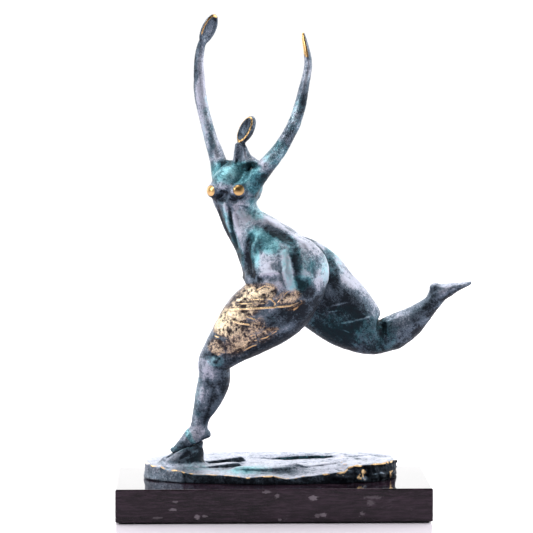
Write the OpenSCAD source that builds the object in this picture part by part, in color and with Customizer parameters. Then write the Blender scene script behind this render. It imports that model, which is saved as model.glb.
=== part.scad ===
// Cast bronze dancer on a rocky ground plate, bolted to a polished marble plinth.
// Millimetres, +Z up, X from the standing foot towards the trailing foot.
// The origin is the centre of the felt's lower face, where the statuette rests.

/* [Plinth] */
// Length of the marble plinth
plinth_l = 190; // [158:1:240]
// Depth of the marble plinth
plinth_d = 95; // [79:1:120]
// Thickness of the marble plinth
plinth_t = 20; // [16:0.5:30]
// Chamfer along the plinth's polished edges
plinth_chamfer = 0.6; // [0.3:0.1:1.5]
// Thickness of the felt pad
felt_t = 1; // [0.5:0.1:3]
// How far the felt stays inside the plinth's edge
felt_inset = 2; // [1:0.5:5]

/* [Ground plate] */
// Length of the cast ground plate
plate_l = 155; // [129:1:158]
// Depth of the cast ground plate
plate_d = 70; // [58:1:78]
// Thickness of the ground plate at its thin front edge
plate_t = 5; // [4:0.1:8]
// Depth of the relief under the plate
relief_depth = 1.5; // [1:0.1:2]
// Width of the plate's seating rim around the relief
relief_rim = 7; // [5:0.5:10]

/* [Figure] */
// Height of the figure, from the plate's front edge to the upper fingertip
figure_h = 277.5; // [232:0.5:335]
// Diameter of the bronze dowels in the neck and shoulders
dowel_d = 3; // [2:0.1:3.6]
// Length of the neck and shoulder dowels
dowel_l = 14; // [10:0.5:18]
// Diameter of the bronze dowels in the hip joints
hip_dowel_d = 6; // [4:0.5:8]
// Length of the hip dowels
hip_dowel_l = 24; // [18:1:30]
// Distance between the two dowels of a hip joint
hip_dowel_gap = 16; // [13:0.5:19]

/* [Foot fixing] */
// Diameter of the threaded stud in the standing foot
stud_d = 4; // [3:0.1:5]
// How deep the stud is screwed into the foot
stud_grip = 9; // [7:0.5:11]
// Diameter of the locating dowel in front of the stud
toe_dowel_d = 2; // [1.6:0.1:2.6]
// Distance from the stud to the locating dowel
toe_dowel_gap = 8; // [7:0.5:10]
// Outer diameter of the washer under the foot nut
foot_washer_d = 9; // [8:0.1:11]
// Thickness of the washer under the foot nut
foot_washer_t = 0.8; // [0.5:0.1:1.2]
// Width of the foot nut across its flats
foot_nut_af = 7; // [6:0.1:8]
// Height of the foot nut
foot_nut_h = 3.2; // [2.2:0.1:4]

/* [Base bolts] */
// Thread diameter of the bolts that hold the plate to the plinth
bolt_d = 5; // [4:0.1:6]
// Distance between the two base bolts
bolt_gap = 64; // [53:1:77]
// How far the bolts reach into the plate's bosses
bolt_grip = 6; // [4:0.1:6.5]
// Diameter of the socket head
bolt_head_d = 8.5; // [7:0.1:10]
// Height of the socket head
bolt_head_h = 5; // [4:0.1:6]
// Width of the hexagon socket across its flats
bolt_socket_af = 4; // [3:0.1:5]
// Outer diameter of the base washers
bolt_washer_d = 10; // [9:0.1:12]
// Thickness of the flat base washer
bolt_washer_t = 1; // [0.8:0.1:1.6]
// Thickness of the closed spring washer
spring_washer_t = 1.2; // [0.8:0.1:1.6]

/* [Fits] */
// Gap all round a bolt or stud in a plain hole
hole_clearance = 0.25; // [0.1:0.05:0.5]
// Gap all round a washer or nut in its recess
recess_clearance = 1; // [0.5:0.1:1.5]

/* [Hidden] */

$fn = 48;
eps = 0.01;
far = 1200;

bronze = "#4d6b70";
polished = "#b98a4a";
stone = "#3c3034";
steel = "#a9abad";

// Walls and room round the hidden fixings
boss_wall = 3.5;
pad_wall = 3;
head_room = 2;
nut_room = 1;
thread_runout = 0.8;
stud_recess = 0.5;
spring_washer_split = 1.2;

// The locating dowel, and how much of it is in the rock
toe_dowel_l = 7;
toe_dowel_in_rock = 4;

// Rock wedge under the sole: half sizes of its top and foot, and how far each stands forward
wedge_top = [13.2, 5.6];
wedge_top_forward = 8;
wedge_base = [17.5, 12];
wedge_base_forward = 12;
wedge_top_skin = 0.2;

// Heights of the stack
z_plinth = felt_t;
z_plate = z_plinth + plinth_t;
z_ground = z_plate + plate_t;

// The plate's centre, and the place of the standing foot from the plate's left end
plate_centre = [-0.5, 3];
foot_from_end = 31;
foot_y = -5;
foot = [plate_centre[0] - plate_l / 2 + foot_from_end, plate_centre[1] + foot_y, z_ground];

// The figure is drawn at its standard size about this point, then scaled to figure_h
draw_foot = [-47, -2, 26];
draw_h = 277.5;
fs = figure_h / draw_h;
function placed(p) = foot + fs * (p - draw_foot);

// The sole slopes down towards the toes; this point lies on it, above the stud
sole_point = placed([-47, -2, 42.6]);
sole_pitch = 23.5;

// Planes between the castings: a point and the direction of the limb
neck_point = placed([-18.3, 0, 221.5]);
neck_axis = [0, 0, 1];
right_shoulder_point = placed([-32.4, 12, 215.6]);
right_shoulder_axis = [-0.25, 0.08, 0.96];
left_shoulder_point = placed([-0.6, -11, 214]);
left_shoulder_axis = [0.66, 0, 0.75];
standing_hip_point = placed([2, -14.5, 130]);
standing_hip_axis = [-0.6, 0.04, -0.8];
trailing_hip_point = placed([25, 14, 139]);
trailing_hip_axis = [0.8, 0, -0.6];

// Base bolts, on the plate's centre line
bolt_mid = plate_centre + [17, 0];
bolt_places = [bolt_mid - [bolt_gap / 2, 0], bolt_mid + [bolt_gap / 2, 0]];
boss_d = bolt_d + 2 * boss_wall;
bolt_stack_t = bolt_washer_t + spring_washer_t;
counterbore_d = bolt_washer_d + 2 * recess_clearance;
counterbore_h = bolt_head_h + bolt_stack_t + head_room;

// Foot nut recess
foot_recess_d = foot_washer_d + 2 * recess_clearance;
foot_recess_h = foot_nut_h + foot_washer_t + nut_room;
stud_low = z_plate + stud_recess;

// ---- Helpers ----

// Value between b and c on a smooth curve through a, b, c and d
function curve(a, b, c, d, t) =
    b + (c - a) * t / 2 + (2 * a - 5 * b + 4 * c - d) * t * t / 2
    + (3 * b - a - 3 * c + d) * t * t * t / 2;

function at(list, i) = list[max(0, min(len(list) - 1, i))];

function turn_at(list, i) = list[(i + len(list)) % len(list)];

// Rows of a list, with smooth rows put between them
function smooth(list, n) = concat(
    [for (i = [0 : len(list) - 2], k = [0 : n - 1])
        curve(at(list, i - 1), list[i], list[i + 1], at(list, i + 2), k / n)],
    [list[len(list) - 1]]);

// The same for a closed outline
function smooth_ring(list, n) =
    [for (i = [0 : len(list) - 1], k = [0 : n - 1])
        curve(turn_at(list, i - 1), list[i], turn_at(list, i + 1), turn_at(list, i + 2), k / n)];

function unit(v) = v / norm(v);
function centre_of(s) = placed([s[0], s[1], s[2]]);

// One oval ring of a limb; a row is x, y, z, half width, half depth and twist
function limb_ring(rows, i, sides) =
    let (s = rows[i])
    let (along = unit(centre_of(at(rows, i + 1)) - centre_of(at(rows, i - 1))))
    let (across = unit(cross(along, [0, 1, 0])))
    let (deep = cross(along, across))
    let (turn = s[5])
    let (u = across * cos(turn) + deep * sin(turn))
    let (v = deep * cos(turn) - across * sin(turn))
    [for (k = [0 : sides - 1])
        centre_of(s) + fs * (s[3] * cos(360 * k / sides) * u + s[4] * sin(360 * k / sides) * v)];

// Closed skin over a stack of rings with the same number of points
module skin(rings) {
    sides = len(rings[0]);
    last = len(rings) - 1;
    points = [for (r = rings) each r];
    bands = [for (i = [0 : last - 1], k = [0 : sides - 1])
        let (a = i * sides + k, b = i * sides + (k + 1) % sides)
        each [[a, a + sides, b], [b, a + sides, b + sides]]];
    lower = [for (k = [0 : sides - 1]) k];
    upper = [for (k = [sides - 1 : -1 : 0]) last * sides + k];
    polyhedron(points = points, faces = concat([lower, upper], bands), convexity = 6);
}

module limb(stations, sides = 20, steps = 2) {
    rows = smooth([for (s = stations) len(s) > 5 ? s : concat(s, [0])], steps);
    skin([for (i = [0 : len(rows) - 1]) limb_ring(rows, i, sides)]);
}

// Oval ball, drawn at the figure's standard size
module ball(centre, radii, tilt = [0, 0, 0], sides = 24) {
    translate(placed(centre))
        rotate(tilt)
            scale(fs * radii)
                sphere(r = 1, $fn = sides);
}

// Turns +Z to the direction v
module aim(point, v) {
    translate(point)
        rotate([0, acos(v[2] / norm(v)), atan2(v[1], v[0])])
            children();
}

// Everything beyond a plane, in the direction v
module beyond(point, v) {
    aim(point, v)
        translate([-far / 2, -far / 2, 0])
            cube(far);
}

module rod(point, v, d, l) {
    aim(point, v)
        translate([0, 0, -l / 2])
            cylinder(d = d, h = l);
}

module ring(outer_d, inner_d, h) {
    difference() {
        cylinder(d = outer_d, h = h);
        translate([0, 0, -eps])
            cylinder(d = inner_d, h = h + 2 * eps);
    }
}

module at_bolts(z) {
    for (p = bolt_places)
        translate([p[0], p[1], z])
            children();
}

// ---- Figure: one flowing form, cut into its castings ----

module torso_form() {
    limb([
        [-18.6, 0, 226, 2.9, 3.0],
        [-18.8, 0, 219, 3.2, 3.4],
        [-18.6, 0.5, 214, 4.6, 4.8, -35],
        [-19.2, 1, 210.5, 12, 7.0, -35],
        [-20.2, 1, 204, 16.8, 9.6, -35],
        [-21.9, 0.5, 196, 16.4, 10.3, -30],
        [-21.5, 0, 187, 12.2, 9.5, -15],
        [-16.8, 0, 177, 12.8, 11, 0],
        [-7.8, 0, 167, 16.9, 19, 0],
        [2.0, 0, 154, 22.5, 24, 0],
        [5.0, 0, 141, 19.5, 21, 0],
        [6.0, 0, 133, 6, 8, 0]
    ], sides = 28);
    ball([12, -13.5, 148], [22, 14.5, 22]);
    ball([14.6, 14, 146.4], [22.6, 14.5, 21.6]);
    ball([-21.4, -10.6, 197.2], [5.2, 5.6, 4.7]);
    ball([-35.0, -6.2, 197.3], [5.0, 5.6, 4.5]);
}

module head_form() {
    limb([
        [-20.4, 0, 222.5, 2.4, 2.6],
        [-19.0, 0, 226, 3.2, 3.6],
        [-17.2, 0, 230, 4.3, 4.8],
        [-15.3, 0, 234.5, 4.7, 5.0],
        [-13.6, 0, 238.5, 4.0, 4.2],
        [-12.2, 0, 241.6, 1.8, 2.0]
    ]);
}

module right_arm_form() {
    limb([
        [-28.4, 5, 193, 5.6, 6],
        [-30.4, 8, 204, 6.0, 6],
        [-32.8, 12, 215, 4.9, 4.9],
        [-35.9, 13, 224.5, 4.3, 4.4],
        [-38.9, 13.5, 234.5, 3.7, 3.8],
        [-41.5, 13.5, 244.5, 3.6, 3.5],
        [-43.4, 13, 254.5, 3.7, 3.5],
        [-44.1, 12.5, 264.5, 3.5, 3.2],
        [-44.4, 12, 274.5, 2.9, 2.9],
        [-43.3, 11.5, 283, 2.6, 2.4],
        [-41.5, 11, 289, 3.6, 1.9, 20],
        [-38.8, 10.5, 295, 4.3, 1.8, 30],
        [-36.3, 10, 300, 3.6, 1.5, 30],
        [-34.6, 10, 303.3, 1.2, 0.8, 30]
    ]);
}

module left_arm_form() {
    limb([
        [-17.0, -4, 190, 4.6, 6],
        [-12.4, -6.5, 201, 5.8, 6.2],
        [-4.2, -11, 212, 5.2, 5.8],
        [2.7, -12, 220.3, 4.6, 5.1],
        [6.9, -12, 226.8, 4.1, 4.6],
        [10.9, -11.5, 233.8, 3.9, 4.1],
        [14.0, -11, 240.7, 3.8, 3.8],
        [16.8, -10, 250, 3.6, 3.5],
        [19.0, -9, 260, 2.9, 3.1],
        [20.8, -8, 268, 2.5, 2.8],
        [21.6, -7, 275, 2.3, 2.9],
        [20.6, -6, 282, 2.0, 3.8],
        [19.4, -5, 288, 1.6, 3.2],
        [18.5, -4.5, 292.8, 0.8, 1.4]
    ]);
}

module standing_leg_form() {
    limb([
        [10.0, -14, 150, 20, 13],
        [7.0, -14.5, 141, 24, 14],
        [2.2, -14.5, 129.3, 22, 14],
        [-11.9, -13.5, 118.2, 20.0, 13.5],
        [-22.5, -12, 108.5, 15.9, 12.5],
        [-30.2, -10, 100.4, 11.9, 11],
        [-35.2, -8, 93.5, 9.8, 9.6],
        [-35.1, -6.5, 86, 9.5, 8.6],
        [-35.7, -5.5, 80.3, 9.7, 8.4],
        [-39.1, -4.5, 70.3, 8.3, 7.4],
        [-43.1, -3, 60.2, 5.7, 5.4],
        [-44.5, -2, 54, 5.2, 4.6],
        [-45.2, -2, 49.5, 6.2, 4.4],
        [-46.6, -2, 44.5, 8.6, 4.6],
        [-50.0, -2, 38, 12, 5],
        [-52.0, -2, 32, 12, 5]
    ], sides = 24);
}

module trailing_leg_form() {
    limb([
        [8.0, 14, 152, 18, 12],
        [22.0, 14.5, 142.0, 22.6, 13.5],
        [34.0, 14.5, 129.8, 21.8, 14],
        [45.2, 14.5, 119.8, 20.2, 13.5],
        [56.6, 14, 111.4, 16.6, 12],
        [65.8, 13.5, 106.4, 12, 10.5],
        [72.5, 13.5, 107.6, 10.6, 9.4],
        [77.6, 13.5, 110.4, 10.4, 9],
        [85.4, 13.5, 115.0, 9.0, 8],
        [92.6, 13, 121.0, 6.7, 6.4],
        [98.6, 12.5, 126.8, 5.2, 5],
        [102.6, 12.5, 132.2, 5.5, 4.6],
        [108.8, 12.5, 135.1, 4.1, 4.8],
        [115.0, 12.5, 137.1, 2.4, 4.4],
        [120.2, 12.5, 138.6, 1.4, 3],
        [123.0, 12.5, 139.6, 0.8, 1.4]
    ], sides = 24);
}

// Heel that stands out behind the ankle of the standing leg
module heel_form() {
    ball([-41.2, -2, 48.3], [3.6, 3.6, 3.2]);
}

// Heel of the trailing foot
module trailing_heel_form() {
    ball([100.6, 12.5, 136.2], [3.4, 3.6, 3]);
}

// All skins melt into one closed skin here; zeros leave its size as drawn
module figure_form() {
    resize([0, 0, 0])
        union() {
            torso_form();
            head_form();
            right_arm_form();
            left_arm_form();
            standing_leg_form();
            heel_form();
            trailing_leg_form();
            trailing_heel_form();
        }
}

// The region of each limb, on its side of the joint plane
module head_region() {
    intersection() {
        beyond(neck_point, neck_axis);
        beyond(placed([-24, 0, 0]), [1, 0, 0]);
        beyond(placed([-7.5, 0, 0]), [-1, 0, 0]);
    }
}

module right_arm_region() {
    intersection() {
        beyond(right_shoulder_point, right_shoulder_axis);
        beyond(placed([-24.5, 0, 0]), [-1, 0, 0]);
    }
}

module left_arm_region() {
    intersection() {
        beyond(left_shoulder_point, left_shoulder_axis);
        beyond(placed([-7, 0, 0]), [1, 0, 0]);
        beyond(placed([0, 0, 195]), [0, 0, 1]);
    }
}

module standing_leg_region() {
    intersection() {
        beyond(standing_hip_point, standing_hip_axis);
        union() {
            beyond(placed([0, 0, 0]), [0, -1, 0]);
            beyond(placed([-6, 0, 0]), [-1, 0, 0]);
        }
    }
}

module trailing_leg_region() {
    intersection() {
        beyond(trailing_hip_point, trailing_hip_axis);
        beyond(placed([0, 0, 0]), [0, 1, 0]);
        beyond(placed([0, 0, 0]), [1, 0, 0]);
    }
}

module below_sole() {
    translate(sole_point)
        rotate([0, -sole_pitch, 0])
            translate([-far / 2, -far / 2, -far])
                cube(far);
}

// ---- Dowels and studs, and the bores they sit in ----

module neck_pin() rod(neck_point, neck_axis, dowel_d, dowel_l);

module right_shoulder_pin() rod(right_shoulder_point, right_shoulder_axis, dowel_d, dowel_l);

module left_shoulder_pin() rod(left_shoulder_point, left_shoulder_axis, dowel_d, dowel_l);

// Two pins side by side along the plane of a hip joint
module hip_pins(point, axis) {
    along = unit(cross([0, 1, 0], axis));
    for (side = [-1, 1])
        rod(point + side * hip_dowel_gap / 2 * along, axis, hip_dowel_d, hip_dowel_l);
}

module standing_hip_pins() hip_pins(standing_hip_point, standing_hip_axis);

module trailing_hip_pins() hip_pins(trailing_hip_point, trailing_hip_axis);

module stud_rod() {
    translate([foot[0], foot[1], stud_low])
        cylinder(d = stud_d, h = sole_point[2] + stud_grip - stud_low);
}

module toe_rod() {
    drop = toe_dowel_gap * tan(sole_pitch);
    translate([foot[0] - toe_dowel_gap, foot[1], sole_point[2] - drop - toe_dowel_in_rock])
        cylinder(d = toe_dowel_d, h = toe_dowel_l);
}

// ---- Castings ----

module torso_casting() {
    color(bronze)
        difference() {
            resize([0, 0, 0])
                difference() {
                    figure_form();
                    head_region();
                    right_arm_region();
                    left_arm_region();
                    standing_leg_region();
                    trailing_leg_region();
                }
            neck_pin();
            right_shoulder_pin();
            left_shoulder_pin();
            standing_hip_pins();
            trailing_hip_pins();
        }
}

// One limb of the figure: the form inside its region
module limb_piece() {
    resize([0, 0, 0])
        intersection() {
            figure_form();
            children();
        }
}

module head_casting() {
    color(bronze)
        difference() {
            limb_piece() head_region();
            neck_pin();
            face_hollow();
        }
}

// The oval hollow that takes the place of a face
module face_hollow() {
    translate(placed([-20.2, -4.6, 234]))
        rotate([0, 0, -45])
            rotate([0, 27, 0])
                scale(fs * [3, 3.6, 7])
                    sphere(r = 1, $fn = 24);
}

module right_arm_casting() {
    color(bronze)
        difference() {
            limb_piece() right_arm_region();
            right_shoulder_pin();
        }
}

module left_arm_casting() {
    color(bronze)
        difference() {
            limb_piece() left_arm_region();
            left_shoulder_pin();
        }
}

module standing_leg_casting() {
    color(polished)
        difference() {
            resize([0, 0, 0])
                difference() {
                    intersection() {
                        figure_form();
                        standing_leg_region();
                    }
                    below_sole();
                }
            standing_hip_pins();
            stud_rod();
            toe_rod();
        }
}

module trailing_leg_casting() {
    color(bronze)
        difference() {
            limb_piece() trailing_leg_region();
            trailing_hip_pins();
        }
}

module neck_dowel() color(polished) neck_pin();

module right_shoulder_dowel() color(polished) right_shoulder_pin();

module left_shoulder_dowel() color(polished) left_shoulder_pin();

module standing_hip_dowels() color(polished) standing_hip_pins();

module trailing_hip_dowels() color(polished) trailing_hip_pins();

// ---- Ground plate ----

// Half outline sizes are 1; the points run round the plate as seen from above
plate_outline = [
    [-1.00, -0.05], [-0.91, -0.42], [-0.68, -0.76], [-0.34, -0.90], [0, -0.99], [0.30, -0.95],
    [0.54, -0.90], [0.86, -0.63], [0.98, -0.30], [1.00, 0.10], [0.96, 0.62], [0.78, 0.88],
    [0.40, 0.99], [0, 0.97], [-0.40, 0.99], [-0.74, 0.86], [-0.95, 0.50]
];

// Height of the plate's top over its thin front edge, for a place from -1 to 1 each way
function ground_height(u, v) =
    3 * (1 + v) + 6 * exp(-pow((u - 0.72) / 0.4, 2)) * (0.5 - v / 2)
    + 2.4 * exp(-pow((u + 0.85) / 0.28, 2)) * (0.5 - v / 2)
    + 1.1 * sin(260 * u + 150 * v) * (1 - v * v);

function plate_ring(share, on_top) =
    [for (p = smooth_ring(plate_outline, 3))
        let (u = share * p[0], v = share * p[1])
        [plate_centre[0] + u * plate_l / 2, plate_centre[1] + v * plate_d / 2,
            on_top ? z_ground + ground_height(u, v) : z_plate]];

module plate_slab() {
    skin(concat(
        [plate_ring(1, false)],
        [for (share = [1, 0.96, 0.85, 0.68, 0.5, 0.32, 0.14, 0.02]) plate_ring(share, true)]));
}

// Rock that carries the sole; its top lies in the plane of the sole
module rock_wedge() {
    hull() {
        translate(sole_point)
            rotate([0, -sole_pitch, 0])
                translate([-fs * wedge_top_forward, 0, -wedge_top_skin])
                    scale([fs * wedge_top[0], fs * wedge_top[1], 1])
                        cylinder(r = 1, h = wedge_top_skin, $fn = 24);
        translate([foot[0] - fs * wedge_base_forward, foot[1], z_ground])
            scale([fs * wedge_base[0], fs * wedge_base[1], 1])
                cylinder(r = 1, h = 1, $fn = 24);
    }
}

module ground_plate() {
    color(bronze)
        difference() {
            resize([0, 0, 0])
                union() {
                    plate_slab();
                    rock_wedge();
                }
            plate_relief();
            at_bolts(z_plate - eps)
                cylinder(d = bolt_d, h = bolt_grip + thread_runout + eps);
            translate([foot[0], foot[1], z_plate - eps])
                cylinder(d = foot_recess_d, h = foot_recess_h + eps);
            translate([foot[0], foot[1], z_plate])
                cylinder(d = stud_d + 2 * hole_clearance, h = far);
            toe_rod();
        }
}

// Shallow pocket under the plate, which leaves a seating rim, the bosses and a pad at the foot
module plate_relief() {
    shrink = [1 - 2 * relief_rim / plate_l, 1 - 2 * relief_rim / plate_d];
    difference() {
        translate([plate_centre[0], plate_centre[1], z_plate - eps])
            linear_extrude(relief_depth + eps)
                polygon([for (p = smooth_ring(plate_outline, 3))
                    [p[0] * shrink[0] * plate_l / 2, p[1] * shrink[1] * plate_d / 2]]);
        at_bolts(z_plate - 2 * eps)
            cylinder(d = boss_d, h = relief_depth + 3 * eps);
        translate([foot[0], foot[1], z_plate - 2 * eps])
            cylinder(d = foot_recess_d + 2 * pad_wall, h = relief_depth + 3 * eps);
    }
}

// ---- Foot fixing ----

module foot_stud() color(steel) stud_rod();

module foot_locating_dowel() color(polished) toe_rod();

module foot_washer() {
    color(steel)
        translate([foot[0], foot[1], z_plate + foot_recess_h - foot_washer_t])
            ring(foot_washer_d, stud_d + 2 * hole_clearance, foot_washer_t);
}

module foot_nut() {
    across_corners = foot_nut_af / cos(30);
    color(steel)
        translate([foot[0], foot[1], z_plate + foot_recess_h - foot_washer_t - foot_nut_h])
            difference() {
                cylinder(d = across_corners, h = foot_nut_h, $fn = 6);
                translate([0, 0, -eps])
                    cylinder(d = stud_d, h = foot_nut_h + 2 * eps);
            }
}

// ---- Plinth, felt and base bolts ----

module marble_plinth() {
    c = plinth_chamfer;
    color(stone)
        difference() {
            translate([0, 0, z_plinth])
                hull() {
                    for (inset = [[c, 0], [0, c]])
                        translate([inset[0] - plinth_l / 2, inset[0] - plinth_d / 2, inset[1]])
                            cube([plinth_l - 2 * inset[0], plinth_d - 2 * inset[0],
                                plinth_t - 2 * inset[1]]);
                }
            at_bolts(z_plinth - eps)
                cylinder(d = counterbore_d, h = counterbore_h + eps);
            at_bolts(z_plinth)
                cylinder(d = bolt_d + 2 * hole_clearance, h = plinth_t + 1);
        }
}

module base_felt() {
    color("#1c1c1f")
        difference() {
            translate([felt_inset - plinth_l / 2, felt_inset - plinth_d / 2, 0])
                cube([plinth_l - 2 * felt_inset, plinth_d - 2 * felt_inset, felt_t]);
            at_bolts(-eps)
                cylinder(d = counterbore_d, h = felt_t + 2 * eps);
        }
}

bolt_seat = z_plinth + counterbore_h;

module base_bolts() {
    shank_low = bolt_seat - bolt_stack_t;
    color(steel)
        at_bolts(shank_low)
            difference() {
                union() {
                    cylinder(d = bolt_d, h = z_plate + bolt_grip - shank_low);
                    translate([0, 0, -bolt_head_h])
                        cylinder(d = bolt_head_d, h = bolt_head_h);
                }
                translate([0, 0, -bolt_head_h - eps])
                    cylinder(d = bolt_socket_af / cos(30), h = bolt_head_h / 2, $fn = 6);
            }
}

module base_flat_washers() {
    color(steel)
        at_bolts(bolt_seat - bolt_washer_t)
            ring(bolt_washer_d, bolt_d + 2 * hole_clearance, bolt_washer_t);
}

module base_spring_washers() {
    color(steel)
        at_bolts(bolt_seat - bolt_stack_t)
            difference() {
                ring(bolt_head_d, bolt_d + 2 * hole_clearance, spring_washer_t);
                translate([0, -spring_washer_split / 2, -eps])
                    cube([bolt_head_d, spring_washer_split, spring_washer_t + 2 * eps]);
            }
}

marble_plinth();
base_felt();
ground_plate();
torso_casting();
head_casting();
right_arm_casting();
left_arm_casting();
standing_leg_casting();
trailing_leg_casting();
neck_dowel();
right_shoulder_dowel();
left_shoulder_dowel();
standing_hip_dowels();
trailing_hip_dowels();
foot_stud();
foot_locating_dowel();
foot_washer();
foot_nut();
base_bolts();
base_flat_washers();
base_spring_washers();
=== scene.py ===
import math

import bmesh
import bpy
import numpy as np
import openvdb as vdb
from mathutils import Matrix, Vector
from mathutils.geometry import tessellate_polygon


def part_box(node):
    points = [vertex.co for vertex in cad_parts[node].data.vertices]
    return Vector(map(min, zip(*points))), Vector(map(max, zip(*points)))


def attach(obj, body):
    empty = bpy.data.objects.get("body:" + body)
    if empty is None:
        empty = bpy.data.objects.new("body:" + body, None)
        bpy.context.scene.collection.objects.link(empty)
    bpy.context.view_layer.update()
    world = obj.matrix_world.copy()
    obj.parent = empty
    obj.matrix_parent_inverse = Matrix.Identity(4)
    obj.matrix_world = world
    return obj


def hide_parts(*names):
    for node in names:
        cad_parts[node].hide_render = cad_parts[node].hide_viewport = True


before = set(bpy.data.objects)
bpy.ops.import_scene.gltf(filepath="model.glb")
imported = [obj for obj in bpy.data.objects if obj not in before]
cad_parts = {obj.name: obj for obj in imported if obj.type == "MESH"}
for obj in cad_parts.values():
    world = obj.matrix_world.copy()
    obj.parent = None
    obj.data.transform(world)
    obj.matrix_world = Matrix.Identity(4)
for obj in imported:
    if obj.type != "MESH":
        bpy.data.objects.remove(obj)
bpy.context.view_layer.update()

MM = 0.001

# The figure is drawn in millimetres about this point, where the foot stud meets the plate.
DRAWN_FOOT = np.array([-47.0, -2.0, 26.0])


def node_box(node):
    """Lowest and highest corner of a CAD node, in millimetres."""
    low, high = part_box(node)
    return np.array(low) / MM, np.array(high) / MM


def node_centre(node):
    low, high = node_box(node)
    return (low + high) / 2


PLATE_LOW, PLATE_HIGH = node_box("ground_plate")
PLINTH_LOW = node_box("marble_plinth")[0]
STUD = node_centre("foot_stud")
PLATE_EDGE_T = 5.0
SHIFT = np.array([STUD[0], STUD[1], PLATE_LOW[2] + PLATE_EDGE_T]) - DRAWN_FOOT

# ---------------------------------------------------------------- noise


def lattice_random(ix, iy, iz, seed):
    """A repeatable number from 0 to 1 for each corner of a grid."""
    h = (ix * 374761393 + iy * 668265263 + iz * 2147483647 + seed * 1274126177) & 0xFFFFFFFF
    h = ((h ^ (h >> 13)) * 1274126177) & 0xFFFFFFFF
    h = ((h ^ (h >> 16)) * 2246822519) & 0xFFFFFFFF
    return (h ^ (h >> 15)) / 4294967295.0


def value_noise(p, size, seed=0):
    """Smooth noise from -1 to 1; size is the distance between its bumps."""
    q = p / size
    cell = np.floor(q).astype(np.int64)
    f = q - cell
    f = f * f * (3 - 2 * f)
    total = np.zeros(len(p))
    for corner in np.ndindex(2, 2, 2):
        wx, wy, wz = (f[:, k] if up else 1 - f[:, k] for k, up in enumerate(corner))
        total += wx * wy * wz * lattice_random(*(cell + corner).T, seed)
    return total * 2 - 1


def layered_noise(p, size, layers, seed=0):
    total = np.zeros(len(p))
    weight = 1.0
    for i in range(layers):
        total += weight * value_noise(p, size / 2 ** i, seed + 17 * i)
        weight *= 0.5
    return total / (2 - 2 * weight)


def cell_noise(p, size, seed=0):
    """Distance to the nearest of scattered points, in cells."""
    q = p / size
    cell = np.floor(q).astype(np.int64)
    nearest = np.full(len(p), 9.0)
    for step in np.ndindex(3, 3, 3):
        c = cell + np.array(step) - 1
        spot = np.stack([lattice_random(*c.T, seed + k) for k in (1, 2, 3)], 1)
        nearest = np.minimum(nearest, np.linalg.norm(c + spot - q, axis=1))
    return nearest


def fade(low, high, x):
    """0 below low, 1 above high, smooth between them."""
    t = np.clip((x - low) / (high - low), 0, 1)
    return t * t * (3 - 2 * t)


# ---------------------------------------------------------------- distance fields

VOXEL = 0.55
BAND = 9.0


def soft_min(a, b, k):
    """The smaller of a and b, rounded over where they differ by less than k."""
    if k <= 0:
        return np.minimum(a, b)
    h = np.maximum(k - np.abs(a - b), 0) / k
    return np.minimum(a, b) - h * h * k / 4


def curve_steps(a, b, c, d, steps):
    """Points of a smooth curve from b up to c; a and d are the points before and after."""
    return [b + (c - a) * t / 2 + (2 * a - 5 * b + 4 * c - d) * t * t / 2
            + (3 * b - a - 3 * c + d) * t ** 3 / 2 for t in (k / steps for k in range(steps))]


def catmull(rows, steps):
    """Rows with smooth rows between them."""
    rows = np.array(rows, float)
    last = len(rows) - 1
    made = []
    for i in range(last):
        before, after = rows[max(i - 1, 0)], rows[min(i + 2, last)]
        made += curve_steps(before, rows[i], rows[i + 1], after, steps)
    return np.array(made + [rows[-1]])


def unit(v):
    v = np.array(v, float)
    return v / np.linalg.norm(v)


LIMB_SIDES, LIMB_STEPS = 48, 8


def limb_rings(stations, squareness):
    """Rings of points round a limb. A station is x, y, z, half width, half depth and twist."""
    rows = catmull([tuple(s) + (0,) * (6 - len(s)) for s in stations], LIMB_STEPS)
    centres = rows[:, :3]
    along = np.gradient(centres, axis=0)
    along /= np.linalg.norm(along, axis=1)[:, None]
    across = np.cross(along, [0, 1, 0])
    across /= np.linalg.norm(across, axis=1)[:, None]
    deep = np.cross(along, across)
    turn = np.radians(rows[:, 5])[:, None]
    u = across * np.cos(turn) + deep * np.sin(turn)
    v = deep * np.cos(turn) - across * np.sin(turn)
    angle = 2 * math.pi * np.arange(LIMB_SIDES) / LIMB_SIDES
    c, s = np.cos(angle), np.sin(angle)
    swell = 1 + squareness * np.sin(2 * angle) ** 2
    return (centres[:, None] + rows[:, 3][:, None, None] * (c * swell)[None, :, None] * u[:, None]
            + rows[:, 4][:, None, None] * (s * swell)[None, :, None] * v[:, None])


def closed_tube(rings):
    """Points, four-sided faces and end triangles of a closed tube through rings of points."""
    count, sides = rings.shape[:2]
    last = (count - 1) * sides
    low, high = count * sides, count * sides + 1
    quads = [(i * sides + k, i * sides + (k + 1) % sides,
              (i + 1) * sides + (k + 1) % sides, (i + 1) * sides + k)
             for i in range(count - 1) for k in range(sides)]
    triangles = [triangle for k in range(sides)
                 for triangle in ((low, (k + 1) % sides, k),
                                  (high, last + k, last + (k + 1) % sides))]
    points = np.vstack([rings.reshape(-1, 3), rings[0].mean(0), rings[-1].mean(0)])
    return points, np.array(quads), np.array(triangles)


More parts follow.
